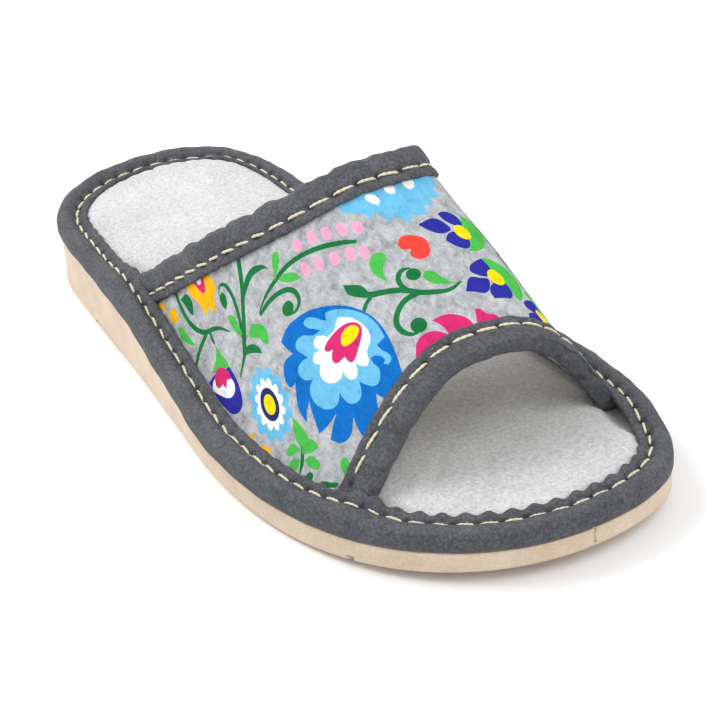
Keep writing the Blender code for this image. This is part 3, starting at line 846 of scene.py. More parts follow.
BUD = (
    ("leaf", [(65.8, -17, 1), (66, -20), (67, -23), (68.2, -27.8, 1), (69.4, -25.4), (71.4, -23.8),
              (73.8, -22.6, 1), (71, -21), (68, -19.4)]),
    ("navy", [(65.8, -18, 1), (65, -13), (65.2, -8), (66.6, -5), (69, -4.6), (71.4, -6.4),
              (73.4, -10.4), (75, -15), (76.4, -21.4, 1), (73.4, -21.5), (70, -20)]),
    ("white", [(66.8, -15, 1), (66.4, -12.4), (67.4, -10.6), (69.2, -10.4), (71.4, -12),
               (73.6, -15), (75.6, -18), (75, -19.6), (73.4, -20.4), (71, -17.4), (68.4, -16)]),
    ("magenta", [(67, -17.4), (66.9, -14.6, 1), (68.6, -16, 1), (70.2, -14.2, 1), (71, -16.4, 1),
                 (72.8, -16.6), (73.8, -18.8), (72.6, -21.4), (70, -21.5), (68.3, -19.8)]),
)
YELLOW_FLOWER = (
    ("orange", [(58.6, -44), (58.3, -41), (59.2, -38.8), (60.9, -38.2, 1), (61.4, -36.4),
                (62.7, -34.9, 1), (63.8, -36.2), (64.6, -38, 1), (66.6, -36.9, 1), (67.6, -39.4),
                (67.8, -42.4), (69.2, -45), (70.4, -48), (70.6, -50.8, 1), (67, -50), (63, -48),
                (60, -46)]),
    ("magenta", [(61, -46.2, 1), (62, -44), (63.2, -42.2, 1), (64.4, -42.8), (65.4, -45),
                 (66.2, -47.4), (67, -49.8, 1), (64.6, -48.8)]),
    ("white", [(62.8, -47), (63.5, -45.6), (64.8, -46.4), (65.2, -48.2)]),
)
LEFT_STEMS = (
    ("stem", 1.4, [(77.2, -56), (77, -50), (76.2, -44), (74, -38.6), (70.6, -34.4), (66, -31.6),
                   (63, -29), (60.4, -25.6)]),
    ("stem", 1.2, [(68.3, -33), (68.5, -30.6), (68.2, -28)]),
    ("stem", 1.7, [(69, -33.6), (72.8, -33.2), (76.4, -32), (80.6, -29)]),
    ("stem", [(72.8, -42.6), (71.1, -45), (71.1, -47.8), (72.8, -50), (76, -50.8, 1), (75, -48),
              (74.2, -44.6)]),
    ("leaf", [(76.4, -34.8, 1), (78.6, -37), (80.6, -39.6), (81.7, -42.6), (81.8, -45.8, 1),
              (79.6, -44), (78.5, -41), (77.6, -38)]),
    ("orange", [(80, -47.6), (79.6, -49.8), (81.4, -52.4), (83.2, -53.2, 1), (83.7, -51),
                (83, -48.2), (81.6, -47.2)]),
    ("orange", [(84.6, -54.6), (84.8, -57), (86.6, -59.6), (88.2, -60.4, 1), (87, -57.6), (86, -55.2)]),
)
MAIN_STEM = (
    ("stem", 1.9, [(45, -39), (46.6, -35), (48.6, -31), (51.4, -27), (54, -23), (56.6, -18.6),
                   (58.4, -15.6), (61, -13.6), (63.2, -12)]),
    ("stem", [(37.6, -27.8, 1), (39.2, -30.4), (42.4, -32.2), (45.6, -31.9), (48.2, -30.4),
              (50, -27.4, 1), (46.8, -29), (43.6, -29.9), (40.2, -29.3)]),
    ("stem", 1.3, [(56.6, -20), (54.8, -26), (54, -32), (54.6, -36.8), (56.8, -38.8), (58.6, -36.8)]),
    ("stem", [(56.4, -35), (57, -32.4), (58.2, -31.6), (59.1, -34), (58.6, -36.6), (57.2, -36.8)]),
    ("leaf", [(56.2, -20.8, 1), (58, -22.6), (58.7, -26), (59, -29.8, 1), (57, -28.4), (56.3, -25)]),
    ("leaf", [(47, -14), (48.6, -11), (50, -12), (51, -15), (53.6, -17.2), (53.9, -19.2),
              (50.6, -19.5), (48, -16.8)]),
    ("stem", [(52.1, -10.4, 1), (52.3, -13), (54.4, -15.8), (57.4, -16.8), (59.4, -15.4, 1),
              (57, -14.6), (54.8, -13)]),
)
SPRIG = (
    ("stem", 1.5, [(11.2, -14.6), (15, -17), (20, -19.6), (26, -21.8), (32, -23), (38, -23),
                   (43, -21.7), (47, -19.8)]),
    ("leaf", [(29.9, -16.8, 1), (30.1, -18.8), (31.6, -20.7), (34, -22.1), (36.4, -22.4, 1),
              (35.2, -20.4), (33, -18.4)]),
    ("leaf", [(37.8, -23, 1), (34.6, -24.8), (32.7, -26.6), (32.2, -28.6), (33.6, -29.7),
              (35.6, -27.8), (36.4, -25.4)]),
    ("stem", 1.5, [(47, -19.2), (43, -19.7), (38.6, -19.4), (35, -17.6), (33.2, -14.8),
                   (33.6, -12.2), (35.8, -11), (38.4, -11.6)]),
    ("stem", "disc", (37.9, -13.5), 2.1, 2.1),
) + tuple(
    ("pink", [(u - 1.1, v + 1.6), (u + 0.4, v + 2.2), (u + 1.3, v + 1.3), (u + 1.1, v - 1.5),
              (u - 0.3, v - 2.2), (u - 1.3, v - 1.2)])
    for u, v in ((25.8, -25.3), (21, -24), (17, -22.1), (12.8, -20.2), (9, -18.2),
                 (27.2, -17.8), (23, -16.2), (18.6, -14.5), (14.4, -12.6), (11, -10.6))
)
COLLAR_FLOWER = (
    ("light", [(10.6, -26), (8, -22.6), (5.8, -20.6), (4.4, -17.8, 1), (3.2, -20.2, 1), (1.8, -18),
               (0.4, -14.8, 1), (-0.6, -17.6, 1), (-2.4, -15.6), (-4.6, -13.2, 1), (-6, -16, 1),
               (-8, -15), (-10.7, -14.6, 1), (-10.6, -17.8, 1), (-12, -17.4), (-13.6, -16.4, 1),
               (-13.6, -19.8, 1), (-16, -20), (-18.2, -20.6, 1), (-17.6, -23.2, 1), (-19.6, -25),
               (-21, -30), (-18, -40), (8, -40)]),
    ("white", [(-0.2, -23), (0.8, -21.9), (2, -22.7), (3.1, -24.2), (2.8, -26), (0.4, -25.6)]),
    ("white", [(-6, -25.6), (-5.2, -23.8), (-3.9, -24), (-3, -25.6), (-3.6, -27.4), (-5.4, -27.4)]),
    ("white", [(-12.3, -26.6), (-11.5, -24.4), (-10.1, -23.9), (-8.9, -25.4), (-9.2, -28),
               (-11.2, -28.4)]),
)
SMALL_SHAPES = (
    ("red", [(-5.5, -5), (-4.4, -2.4), (-2.4, -1.3), (0, -1.8), (0.8, -3.4), (0, -5.3, 1),
             (1.7, -5.6), (2.4, -7.4), (1.2, -9.4), (-1, -10), (-3.6, -9), (-5.5, -7.4)]),
    ("leaf", [(9.8, 0.6, 1), (11.4, -2), (11.9, -4.6), (11.2, -7.4), (9, -8.7), (6.9, -7.4),
              (6.9, -5.6), (8.6, -4), (9.7, -2)]),
    ("leaf", [(-6, 8.8, 1), (-3, 8.1), (-0.4, 7), (1.1, 5), (0.7, 3.1), (-0.8, 2.5), (-2.6, 3.6),
              (-3.7, 6)]),
    ("magenta", [(4, 23, 1), (5, 21.4), (7, 19.9), (9.4, 19.6), (11.7, 20.6), (13.2, 22.6),
                 (14.4, 26), (12, 31), (5, 28)]),
    ("magenta", [(-4, 22.8, 1), (-3.2, 20), (-1, 17.8), (1.6, 16.9), (5.6, 17.1, 1), (4.6, 18.8),
                 (3.8, 20.8), (3.6, 23.4, 1), (3, 27), (-3, 27)]),
    ("magenta", [(-11.8, 22.6), (-10.6, 21), (-9, 20.2), (-8.2, 18.3), (-6.7, 18.2), (-5.9, 20),
                 (-5, 22.4, 1), (-6, 26), (-11, 26)]),
    ("orange", [(63.4, 13.6), (65, 14.2), (66.2, 12), (66.3, 9.8, 1), (64.6, 11)]),
    ("orange", "disc", (67.2, 5.2), 0.8, 1.1),
    ("leaf", [(44.3, 35), (45, 32.8), (46.9, 33.4), (47.5, 36), (46, 37.6)]),
)
NAVY_FLOWERS = (
    ("stem", 1.2, [(-27, -14), (-28.6, -2), (-30.6, 7), (-34.5, 14), (-38, 20)]),
    ("leaf", [(-15.6, -0.2, 1), (-19.5, -0.4), (-24, -3), (-27, -8), (-26, -12.6), (-21.6, -13.6, 1),
              (-19.6, -10), (-19, -5)]),
    ("navy", [(-14.4, -8.6), (-12.4, -7.4), (-10, -7.7), (-8, -9.4), (-6, -12.1, 1), (-8.6, -12.8),
              (-11, -13), (-12.8, -11.8)]),
    ("navy", [(-19.6, -9.8), (-20.1, -12.6), (-18.4, -14.1), (-15.6, -14.8), (-13.2, -14.1, 1),
              (-13.8, -12), (-14.8, -10.6), (-16.6, -9.4)]),
    ("navy", [(-18.2, -4.2), (-16.7, -1.6), (-15, -1.1), (-12.6, -2.5), (-10.8, -4.9, 1),
              (-12, -6.6), (-14.4, -7.4), (-16.6, -6)]),
    ("yellow", "disc", (-17.7, -7.0), 2.8, 2.7),
    ("leaf", [(-18, 2.3, 1), (-23, 3), (-29, 7), (-28, 12.6), (-23, 17.2), (-21.4, 12), (-19, 6)]),
    ("navy", [(-19.2, 6), (-18.2, 2.5, 1), (-15.6, 3.3), (-13, 4.5), (-12, 6.2), (-13, 7.6),
              (-15, 8.7), (-17.4, 8.6)]),
    ("navy", [(-16, 9.8), (-14.4, 13), (-12, 14.1), (-10, 13.1), (-7.4, 12.1, 1), (-8.6, 10.4),
              (-10, 8.6), (-11.6, 8.1), (-13.6, 9)]),
    ("navy", [(-21.6, 11.6), (-21.5, 15), (-19.5, 16.7), (-17.4, 16.5), (-14, 16.3, 1), (-14, 14),
              (-15.4, 12), (-18, 11)]),
    ("yellow", "disc", (-19.2, 9.2), 2.8, 2.8),
    ("leaf", [(-28.6, 13, 1), (-36, 10.4), (-41, 14), (-40.6, 21), (-35.6, 24), (-33, 18)]),
    ("navy", [(-24.4, 17.4), (-31, 15.6), (-32, 19.6), (-29, 21.4), (-25, 20.6)]),
    ("navy", [(-21.2, 24.6, 1), (-23.6, 21.4), (-27.6, 22), (-27, 27), (-22, 28)]),
    ("yellow", "disc", (-29.8, 21.8), 2.5, 2.8),
)
SCROLL = (
    ("stem", 1.7, [(20, -5.4), (18.5, -2), (15.6, 1), (12.6, 2.6), (9.8, 4), (7.2, 5.6), (4, 8.2),
                   (0, 9.7), (-4, 10.1), (-7.8, 8.6)]),
    ("stem", [(20.4, -6.4, 1), (16.4, -3), (15.4, 1.2, 1), (18.4, -0.4), (20.6, -3.4)]),
    ("stem", 1.2, [(15, 1.6), (17.6, 2.4), (20, 4.6)]),
    ("stem", 1.4, [(6.2, 6.8), (7.4, 4), (7.1, 1.4), (5.3, -0.2), (3, 0.2)]),
    ("stem", "disc", (3.1, 2.3), 2.0, 1.9),
    ("stem", 1.6, [(3, 8.2), (8, 8.1), (11.6, 9.9), (13.7, 12.8), (13.5, 16), (11.6, 18.2),
                   (8.8, 18.2)]),
    ("stem", "disc", (9.1, 16.6), 2.2, 2.2),
)
CLUSTER = (
    ("stem", 1.5, [(50.4, 37.8), (52.6, 36), (54.6, 33.4)]),
    ("stem", 1.3, [(52.6, 18), (54.6, 21.6), (56.6, 24.4), (58.8, 26.6)]),
    ("leaf", [(51.9, 29), (53.4, 29.9), (55, 27.8), (55.8, 24.4, 1), (53.4, 24.8), (52.3, 27)]),
    ("leaf", [(50, 24.6), (52.6, 24.5), (55.4, 22.4, 1), (54, 20.3), (51.4, 20.8), (50.1, 22.6)]),
    ("leaf", [(56.6, 23.2, 1), (58.8, 24.8), (60.8, 22.8), (60, 21.4), (58, 21.6)]),
    ("leaf", [(55.2, 20.8, 1), (58, 20.5), (59.7, 19), (58.6, 17.5), (56.2, 17.8)]),
    ("leaf", [(51.4, 21), (54.4, 20.6), (54.9, 17), (52.6, 11.4, 1), (51.5, 16)]),
    ("stem", "disc", (56.7, 29.5), 1.4, 1.3),
)


PETALS = 12


def daisy(middle, wide, long):
    """A flower of blunt petals, with white inner petals, a dark ring and a yellow eye."""
    shapes = []
    for colour, reach, dip in (("light", 1.0, 0.82), ("white", 0.70, 0.54)):
        points = []
        for petal in range(PETALS):
            for turn, radius, corner in ((0.0, dip, 1), (0.32, reach * 0.95, 0), (0.68, reach, 0)):
                angle = 2 * math.pi * (petal + turn) / PETALS
                points.append((middle[0] + wide * radius * math.cos(angle),
                               middle[1] + long * radius * math.sin(angle), corner))
        shapes.append((colour, points))
    shapes.append(("ring", "disc", middle, wide * 0.42, long * 0.44))
    shapes.append(("yellow", "disc", middle, wide * 0.26, long * 0.27))
    return tuple(shapes)


# %% Turning the drawing into closed lines
LINE_SPACING, DISC_POINTS = 0.75, 18


def smooth_line(points, closed):
    """Catmull-Rom curve through given points. A point with a third number is a corner."""
    corners = [row for row, point in enumerate(points) if len(point) == 3 and point[2]]
    points = np.array([point[:2] for point in points], float)
    if closed and corners:
        points = np.roll(points, -corners[0], axis=0)
        stops = [corner - corners[0] for corner in corners] + [len(points)]
        points = np.vstack((points, points[:1]))
        spans = [smooth_line(points[low : high + 1], False) for low, high in zip(stops, stops[1:])]
        return np.vstack([span[:-1] for span in spans])
    if closed:
        padded = np.vstack((points[-1:], points, points[:2]))
    else:
        padded = np.vstack((2 * points[0] - points[1], points, 2 * points[-1] - points[-2]))
    made = []
    for a, b, c, d in zip(padded, padded[1:], padded[2:], padded[3:]):
        count = max(int(np.linalg.norm(c - b) / LINE_SPACING), 1)
        t = (np.arange(count) / count)[:, None]
        made.append(0.5 * (2 * b + (c - a) * t + (2 * a - 5 * b + 4 * c - d) * t**2
                           + (3 * b - a - 3 * c + d) * t**3))
    if not closed:
        made.append(padded[-2:-1])
    return np.vstack(made)


def shape_line(shape):
    """Closed line of one printed shape."""
    kind = shape[1]
    if kind == "disc":
        (u, v), wide, long = shape[2:]
        angles = np.linspace(0, 2 * math.pi, DISC_POINTS, endpoint=False)
        return np.column_stack((u + wide * np.cos(angles), v + long * np.sin(angles)))
    if isinstance(kind, list):
        return smooth_line(kind, closed=True)
    line = smooth_line(shape[2], closed=False)
    along = unit(np.gradient(line, axis=0))
    across = np.column_stack((-along[:, 1], along[:, 0]))
    ends = np.linspace(0, 1, len(line))
    width = kind / 2 * (0.35 + 0.65 * np.minimum(1, 4 * np.minimum(ends + 0.12, 1 - ends)))
    return np.vstack((line + across * width[:, None], (line - across * width[:, None])[::-1]))


def moved(group, middle, to, turn=0.0, size=1.0):
    """A group's closed lines, turned and moved to another place of the cloth."""
    c, s = math.cos(math.radians(turn)), math.sin(math.radians(turn))
    lines = []
    for shape in group:
        line = (shape_line(shape) - middle) * size @ np.array([[c, s], [-s, c]]) + to
        lines.append((shape[0], line))
    return lines


def as_drawn(group):
    return moved(group, (0, 0), (0, 0))


printed = []
for group in (COLLAR_FLOWER, NAVY_FLOWERS, SMALL_SHAPES, LEFT_STEMS, MAIN_STEM, SPRIG, SCROLL,
              CLUSTER, BIG_FLOWER, BUD, YELLOW_FLOWER, daisy((57.4, 2.8), 7.5, 12.0)):
    printed += as_drawn(group)

# %% [markdown]
# The photographed side shows the outer half. The repeat of the cloth carries the same flowers
# on over the inner half, so they are stamped there again, turned as in a repeat.

# %% The repeat on the inner half
SPARE_DAISY = daisy((0, 0), 8.4, 9.4)
STAMPS = (
    (BIG_FLOWER, (33, 10), (-62, -22), 168, 1.0),
    (YELLOW_FLOWER, (63, -43), (-43, -22), 120, 1.1),
    (BUD, (70, -15), (-52, 4), 205, 1.0),
    (SPRIG, (28, -20), (-34, -34), 148, 0.9),
    (MAIN_STEM, (52, -25), (-40, -8), 150, 0.85),
    (SCROLL, (8, 6), (-74, -52), 120, 1.0),
    (CLUSTER, (55, 22), (-47, 24), 150, 0.9),
    (SPARE_DAISY, (0, 0), (-36, 31), 0, 1.0),
    (SPARE_DAISY, (0, 0), (-80, -44), 0, 1.0),
    (YELLOW_FLOWER, (63, -43), (84, -66), 20, 0.9),
)
for group, middle, to, turn, size in STAMPS:
    printed += moved(group, middle, to, turn, size)
print("printed shapes:", len(printed))

# %% [markdown]
# The felt is triangulated on a plain sheet whose width is the arc over the foot, so its
# triangles come out even. Soft troughs and ridges are listed where the arch is pulled
# down to its feet and where the seams draw it in. A crease has its start and end, each as
# across and y, then a width and a height.

# %% The sheet that is triangulated
MARGIN_REACH, ARC_PLACE, ARC_STEPS = 1.10, 0.045, 800
arc_across = np.linspace(-MARGIN_REACH, MARGIN_REACH, ARC_STEPS + 1)
arc_points = arch(arc_across, np.full(ARC_STEPS + 1, ARC_PLACE))
arc_run = np.concatenate(([0], np.cumsum(np.linalg.norm(np.diff(arc_points, axis=0), axis=1))))
arc_run = (arc_run - arc_run[ARC_STEPS // 2]) * 1000
CREASES = (
    (0.60, 0.000, 0.62, 0.060, 0.0040, -0.00055),
    (0.74, -0.012, 0.80, 0.030, 0.0036, -0.00045),
    (0.35, 0.030, 0.40, 0.074, 0.0050, -0.00040),
    (-0.45, 0.010, -0.50, 0.068, 0.0048, -0.00050),
    (-0.78, -0.010, -0.80, 0.050, 0.0040, -0.00055),
    (0.05, 0.034, 0.02, 0.070, 0.0052, 0.00040),
    (0.90, -0.030, 0.93, 0.010, 0.0030, -0.00040),
)


DRAW_HEIGHT, DRAW_PLACE, DRAW_WIDTH, CALM_EDGE = 0.00018, 0.009, 0.004, (0.006, 0.012)
STEEPEST, UPRIGHT_FROM = 0.965, 0.94


def sheet_run(across):
    """Place across the plain sheet, in millimetres."""
    return np.interp(across, arc_across, arc_run)


def felt_rise(across, y):
    """How far the felt stands over the plain arch."""
    spot = np.column_stack((sheet_run(across) / 1000, y))
    rise = np.zeros(len(across))
    for a0, y0, a1, y1, width, height in CREASES:
        start, end = np.array((sheet_run(a0) / 1000, y0)), np.array((sheet_run(a1) / 1000, y1))
        way = end - start
        t = np.clip((spot - start) @ way / (way @ way), 0, 1)
        away = np.linalg.norm(spot - start - t[:, None] * way, axis=1)
        rise += height * bell(away, width) * np.sin(math.pi * np.clip(t, 0.05, 0.95))
    behind, ahead = y - collar_edge(across), toe_edge(across) - y
    near = np.minimum(behind, ahead)
    drawn_in = wander(spot[:, 0], ((0.0066, 1.0), (0.0121, 0.8)), 41)
    rise += DRAW_HEIGHT * drawn_in * bell(near - DRAW_PLACE, DRAW_WIDTH)
    return rise * smooth_step(*CALM_EDGE, near) * (np.abs(across) < 1)


def felt_at(across, y, under=0.0):
    """Points of the felt's face, or of a layer under it."""
    normal = outward(np.clip(across, -STEEPEST, STEEPEST), y)
    upright = np.array((0.0, 0.0, 1.0))
    fade = smooth_step(UPRIGHT_FROM, 1.0, np.abs(across))[:, None]
    normal = unit(normal * (1 - fade) + upright * fade)
    lift = felt_rise(across, y) - under
    lifted = (np.abs(across) < 1.0) | (under > 0)
    return arch(across, y) + normal * (lift * np.where(lifted, 1, 0))[:, None]


# %% The rim of the sheet, in millimetres
RIM_STEP, SIDE_STEP = 1.3, 1.5


def side_rim(low, high):
    """Points between two corners of the sheet, without the corners."""
    count = int(np.linalg.norm(high - low) / SIDE_STEP)
    return low + (high - low) * (np.arange(1, count) / count)[:, None]


edge_across = np.interp(np.arange(arc_run[0], arc_run[-1], RIM_STEP), arc_run, arc_across)
edge_across[0], edge_across = -MARGIN_REACH, np.append(edge_across, MARGIN_REACH)
clipped = np.clip(edge_across, -1, 1)
collar_rim = np.column_stack((sheet_run(edge_across), collar_edge(clipped) * 1000))
toe_rim = np.column_stack((sheet_run(edge_across), toe_edge(clipped) * 1000))
outer_rim, inner_rim = side_rim(collar_rim[-1], toe_rim[-1]), side_rim(collar_rim[0], toe_rim[0])
rim = np.vstack((collar_rim, outer_rim, toe_rim[::-1], inner_rim[::-1]))
print("rim of the felt:", len(rim), "points")

# %% The drawing's outlines on the sheet
SAME_POINT = 0.05
coordinates = [Vector(point) for point in rim]
faces, inks = [list(range(len(rim)))], [None]
for ink, line in printed:
    across, y = lay(line[:, 0] / 1000, line[:, 1] / 1000)
    across = np.where(np.abs(across) < 1, across, np.sign(across))
    sheet_line = np.column_stack((sheet_run(across), y * 1000))
    keep = np.linalg.norm(sheet_line - np.roll(sheet_line, 1, axis=0), axis=1) > SAME_POINT
    sheet_line = sheet_line[keep]
    if len(sheet_line) < 3 or not np.isfinite(sheet_line).all():
        continue
    following = np.roll(sheet_line, -1, axis=0)
    if (sheet_line[:, 0] * following[:, 1] - following[:, 0] * sheet_line[:, 1]).sum() < 0:
        sheet_line = sheet_line[::-1]
    faces.append(list(range(len(coordinates), len(coordinates) + len(sheet_line))))
    coordinates += [Vector(point) for point in sheet_line]
    inks.append(ink)
drawn = np.array([tuple(point) for point in coordinates])
print("outlines on the sheet:", len(faces), "with", len(drawn), "points")

# %% [markdown]
# The felt folds along its two feet, so an edge of the mesh has to run there too. Between the
# outlines the sheet is filled with an even grid of points, clear of every line.

# %% Fold lines and the grid between the outlines
GRID_STEP, GRID_SHIFT, GRID_REAR, GRID_FRONT = 1.55, 0.4, -46, 90
CLEAR_OF_RIM, CLEAR_OF_FOOT, CLEAR_OF_INK = 0.8, 0.6, 0.45
feet = sheet_run((-1.0, 1.0))
fold_lines = []
for foot in feet:
    low, high = float(collar_edge(np.array(1.0))) * 1000, float(toe_edge(np.sign(foot))) * 1000
    count = int((high - low) / SIDE_STEP)
    for step in range(1, count):
        coordinates.append(Vector((foot, low + (high - low) * step / count)))
        if step > 1:
            fold_lines.append((len(coordinates) - 2, len(coordinates) - 1))
grid_columns = np.arange(arc_run[0], arc_run[-1], GRID_STEP)
grid_u, grid_v = np.meshgrid(grid_columns, np.arange(GRID_REAR, GRID_FRONT, GRID_STEP))
grid_u = grid_u + GRID_SHIFT * (np.arange(grid_u.shape[0])[:, None] % 2)
grid = np.column_stack((grid_u.ravel(), grid_v.ravel()))
grid_across = np.clip(np.interp(grid[:, 0], arc_run, arc_across), -1, 1)
inside = grid[:, 1] > collar_edge(grid_across) * 1000 + CLEAR_OF_RIM
inside &= grid[:, 1] < toe_edge(grid_across) * 1000 - CLEAR_OF_RIM
inside &= np.abs(np.abs(grid[:, 0] - feet.mean()) - (feet[1] - feet[0]) / 2) > CLEAR_OF_FOOT
grid = grid[inside]
away, _ = nearest(grid, drawn)
grid = grid[away > CLEAR_OF_INK]
coordinates += [Vector(point) for point in grid]
cut = delaunay_2d_cdt(coordinates, fold_lines, faces, 1, 1e-5)
sheet_points, triangles, owners = cut[0], cut[2], cut[5]
print("felt sheet:", len(sheet_points), "points,", len(triangles), "triangles")

# %% Laying the triangles on the arch
FELT_WALL, LINING_WALL, LINING_UNDER = 0.0014, 0.0006, 0.00145
flat_points = np.array([tuple(point) for point in sheet_points])
felt_across = np.interp(flat_points[:, 0], arc_run, arc_across)
kept = [row for row, owner in enumerate(owners) if 0 in owner]
mesh = bpy.data.meshes.new("printed_felt")
mesh.from_pydata([tuple(point) for point in felt_at(felt_across, flat_points[:, 1] / 1000)], [],
                 [tuple(triangles[row]) for row in kept])
layer = mesh.attributes.new("ink", "FLOAT_COLOR", "CORNER")
shades = np.zeros((len(kept), 3, 4), np.float32)
for place, row in enumerate(kept):
    top_ink = inks[max(owners[row])]
    if top_ink is not None:
        shades[place, :, :3] = [(channel / 255) ** 2.2 for channel in INKS[top_ink]]
        shades[place, :, 3] = 1.0
layer.data.foreach_set("color", shades.ravel())
felt = bpy.data.objects.new("printed_felt", mesh)
bpy.context.scene.collection.objects.link(felt)
only(felt)
bpy.ops.object.mode_set(mode="EDIT")
bpy.ops.mesh.select_all(action="DESELECT")
bpy.ops.mesh.select_loose()
bpy.ops.mesh.delete(type="VERT")
bpy.ops.mesh.select_all(action="SELECT")
turn_outwards()
bpy.ops.object.mode_set(mode="OBJECT")
turn_face_up(felt)
applied(felt, "SOLIDIFY", thickness=FELT_WALL, offset=-1.0, use_even_offset=False)
bpy.ops.object.shade_smooth()
say_fit("upper", got(felt.data))
print("printed_felt:", len(felt.data.polygons), "faces")

# %% [markdown]
# Under the felt lies a thin cream lining. It is a grid laid over the same arch, one layer
# further in, and given its own small thickness.

# %% The lining
LINING_COLUMNS, LINING_ROWS, LINING_END = 73, 27, 0.985
quarter = math.pi / 2
lining_across = np.sin(np.linspace(-quarter, quarter, LINING_COLUMNS)) * LINING_END
layers = []
for share in np.linspace(0, 1, LINING_ROWS):
    y = collar_edge(lining_across) * (1 - share) + toe_edge(lining_across) * share
    layers.append(felt_at(lining_across, y, under=LINING_UNDER))
lining = net("lining", np.array(layers))
turn_face_up(lining)
applied(lining, "SOLIDIFY", thickness=LINING_WALL, offset=-1.0)
bpy.ops.object.shade_smooth()
print("lining:", len(lining.data.polygons), "faces")

# %% [markdown]
# ## Collar and toe bindings
#
# Two narrower strips are folded over the felt's cut edges and sewn through. Their free fold is
# soft and full of small puckers, because the strip is longer there than the edge it covers.
# Each is followed along its edge and given a section: over the felt, round the fold and back.

# %% The section of a folded strip and where it runs
OPENING_SEAM = 0.0033
REACH = OPENING_STRIP_WIDTH - OPENING_NOSE
OVER = GAP + OPENING_STRIP
STRIP_FINE, STRIP_END, TUCKED_UNDER = 1600, 1.25, 0.0030


def strip_section():
    """Distance past the felt's cut edge and height over its face, for each point round the strip."""
    under, middle = -UPPER_WALL - OVER, -UPPER_WALL / 2.0
    radius = UPPER_WALL / 2.0 + OVER
    points = [(-REACH, 0.0002), (-REACH - 0.0001, OVER * 0.40), (-REACH + 0.0002, OVER * 0.66)]
    for past in np.linspace(-REACH + 0.0008, -0.0004, 12):
        points.append((past, OVER * (0.74 + 0.26 * float(smooth_step(0.0008, 0.0055, past + REACH)))))
    for angle in np.radians(np.arange(80, -81, -16)):
        points.append((OPENING_NOSE * math.cos(angle), middle + radius * math.sin(angle)))
    points += [(past, under) for past in np.linspace(-0.0004, -REACH + 0.0008, 10)]
    points += [(-REACH + 0.0002, under + 0.0001), (-REACH, under + 0.0006)]
    points += [(-REACH, -UPPER_WALL - 0.0002), (-REACH / 2, -UPPER_WALL - 0.0002)]
    points += [(0.0003, -UPPER_WALL - 0.0002), (0.0003, 0.0002), (-REACH / 2, 0.0002)]
    return points


def strip_base(edge, free_way):
    """Fine table along a strip: across, run in metres, and the free direction in the surface."""
    across = np.linspace(-STRIP_END, STRIP_END, STRIP_FINE)
    middle = steep_arch(across, edge(across))
    along = unit(np.gradient(middle, axis=0))
    free = np.cross(along, outward(across, edge(across))) * free_way
    run = np.concatenate(([0], np.cumsum(np.linalg.norm(np.diff(middle, axis=0), axis=1))))
    return across, free, run


def strip_ends(across, line):
    """Where one lengthwise line of a strip goes down under the edge binding on each side."""
    clear = line[:, 2] - flap_top(line[:, 1], np.where(across > 0, 1, -1))
    centre = len(across) // 2
    first = centre - int(np.argmax(clear[:centre][::-1] < -TUCKED_UNDER))
    last = centre + int(np.argmax(clear[centre:] < -TUCKED_UNDER))
    return first, last


def strip_points(edge, across, free, past, height):
    """Points at a distance past the cut edge and a height over the felt's face."""
    y = edge(across)
    moved_across, moved_y = steps_for(*tangents(across, y), free * past[:, None])
    there, y_there = across + moved_across, y + moved_y
    return steep_arch(there, y_there) + outward(there, y_there) * height[:, None]


# %% The relief of a folded strip
STRIP_GROOVE, STRIP_HOLE, STRIP_RIPPLE, STRIP_WANDER = 0.00042, 0.00050, 0.00014, 0.00012
PUCKER_STEPS, PUCKER_WIDTH, STRIP_WAVE = (0.0060, 0.0135), 0.00150, 0.00026
NOSE_START, UNDER_SKIN, DRAWN_UNDER = 0.0005, -UPPER_WALL - 0.0005, 0.35


def strip_relief(run, pitch, past, height, seed, pucker):
    """How a strip's skin rises and falls: seam, pillows, puckers at the fold."""
    depth = past + REACH
    outer_face = height > -UPPER_WALL / 2
    hole = bell(to_hole(run, pitch), HOLE_WIDTH)
    rise = -(STRIP_GROOVE + STRIP_HOLE * hole) * bell(depth - OPENING_SEAM, 0.0009)
    ripple = np.cos(2 * math.pi * run / pitch)
    rise = rise - STRIP_RIPPLE * ripple * bell(depth - 0.0008, 0.0016)
    full = smooth_step(OPENING_SEAM + 0.0008, OPENING_SEAM + 0.0040, np.array(depth))
    draws = np.random.default_rng(seed)
    dips = np.zeros(len(run))
    place = 0.004
    while place < run[-1]:
        strength, lean = draws.uniform(0.55, 1.0), draws.uniform(-0.25, 0.25)
        dips += strength * bell(run - place - lean * depth, PUCKER_WIDTH)
        place += draws.uniform(*PUCKER_STEPS)
    loose = 0.50 - dips + 0.35 * wander(run, ((0.0110, 1.0), (0.0190, 1.0)), seed + 2)
    rise = rise + full * pucker * loose
    rise = rise + STRIP_WANDER * wander(run, ((0.0049, 1.0), (0.0113, 1.0)), seed + 1)
    rise = rise * smooth_step(0.0, 0.0080, np.minimum(run, run[-1] - run))
    return rise if outer_face else rise * 0.7


def is_skin(past, height):
    """True for the points of a section that show, and not for those inside the fold."""
    return height > OVER * 0.5 or height < UNDER_SKIN or past > NOSE_START


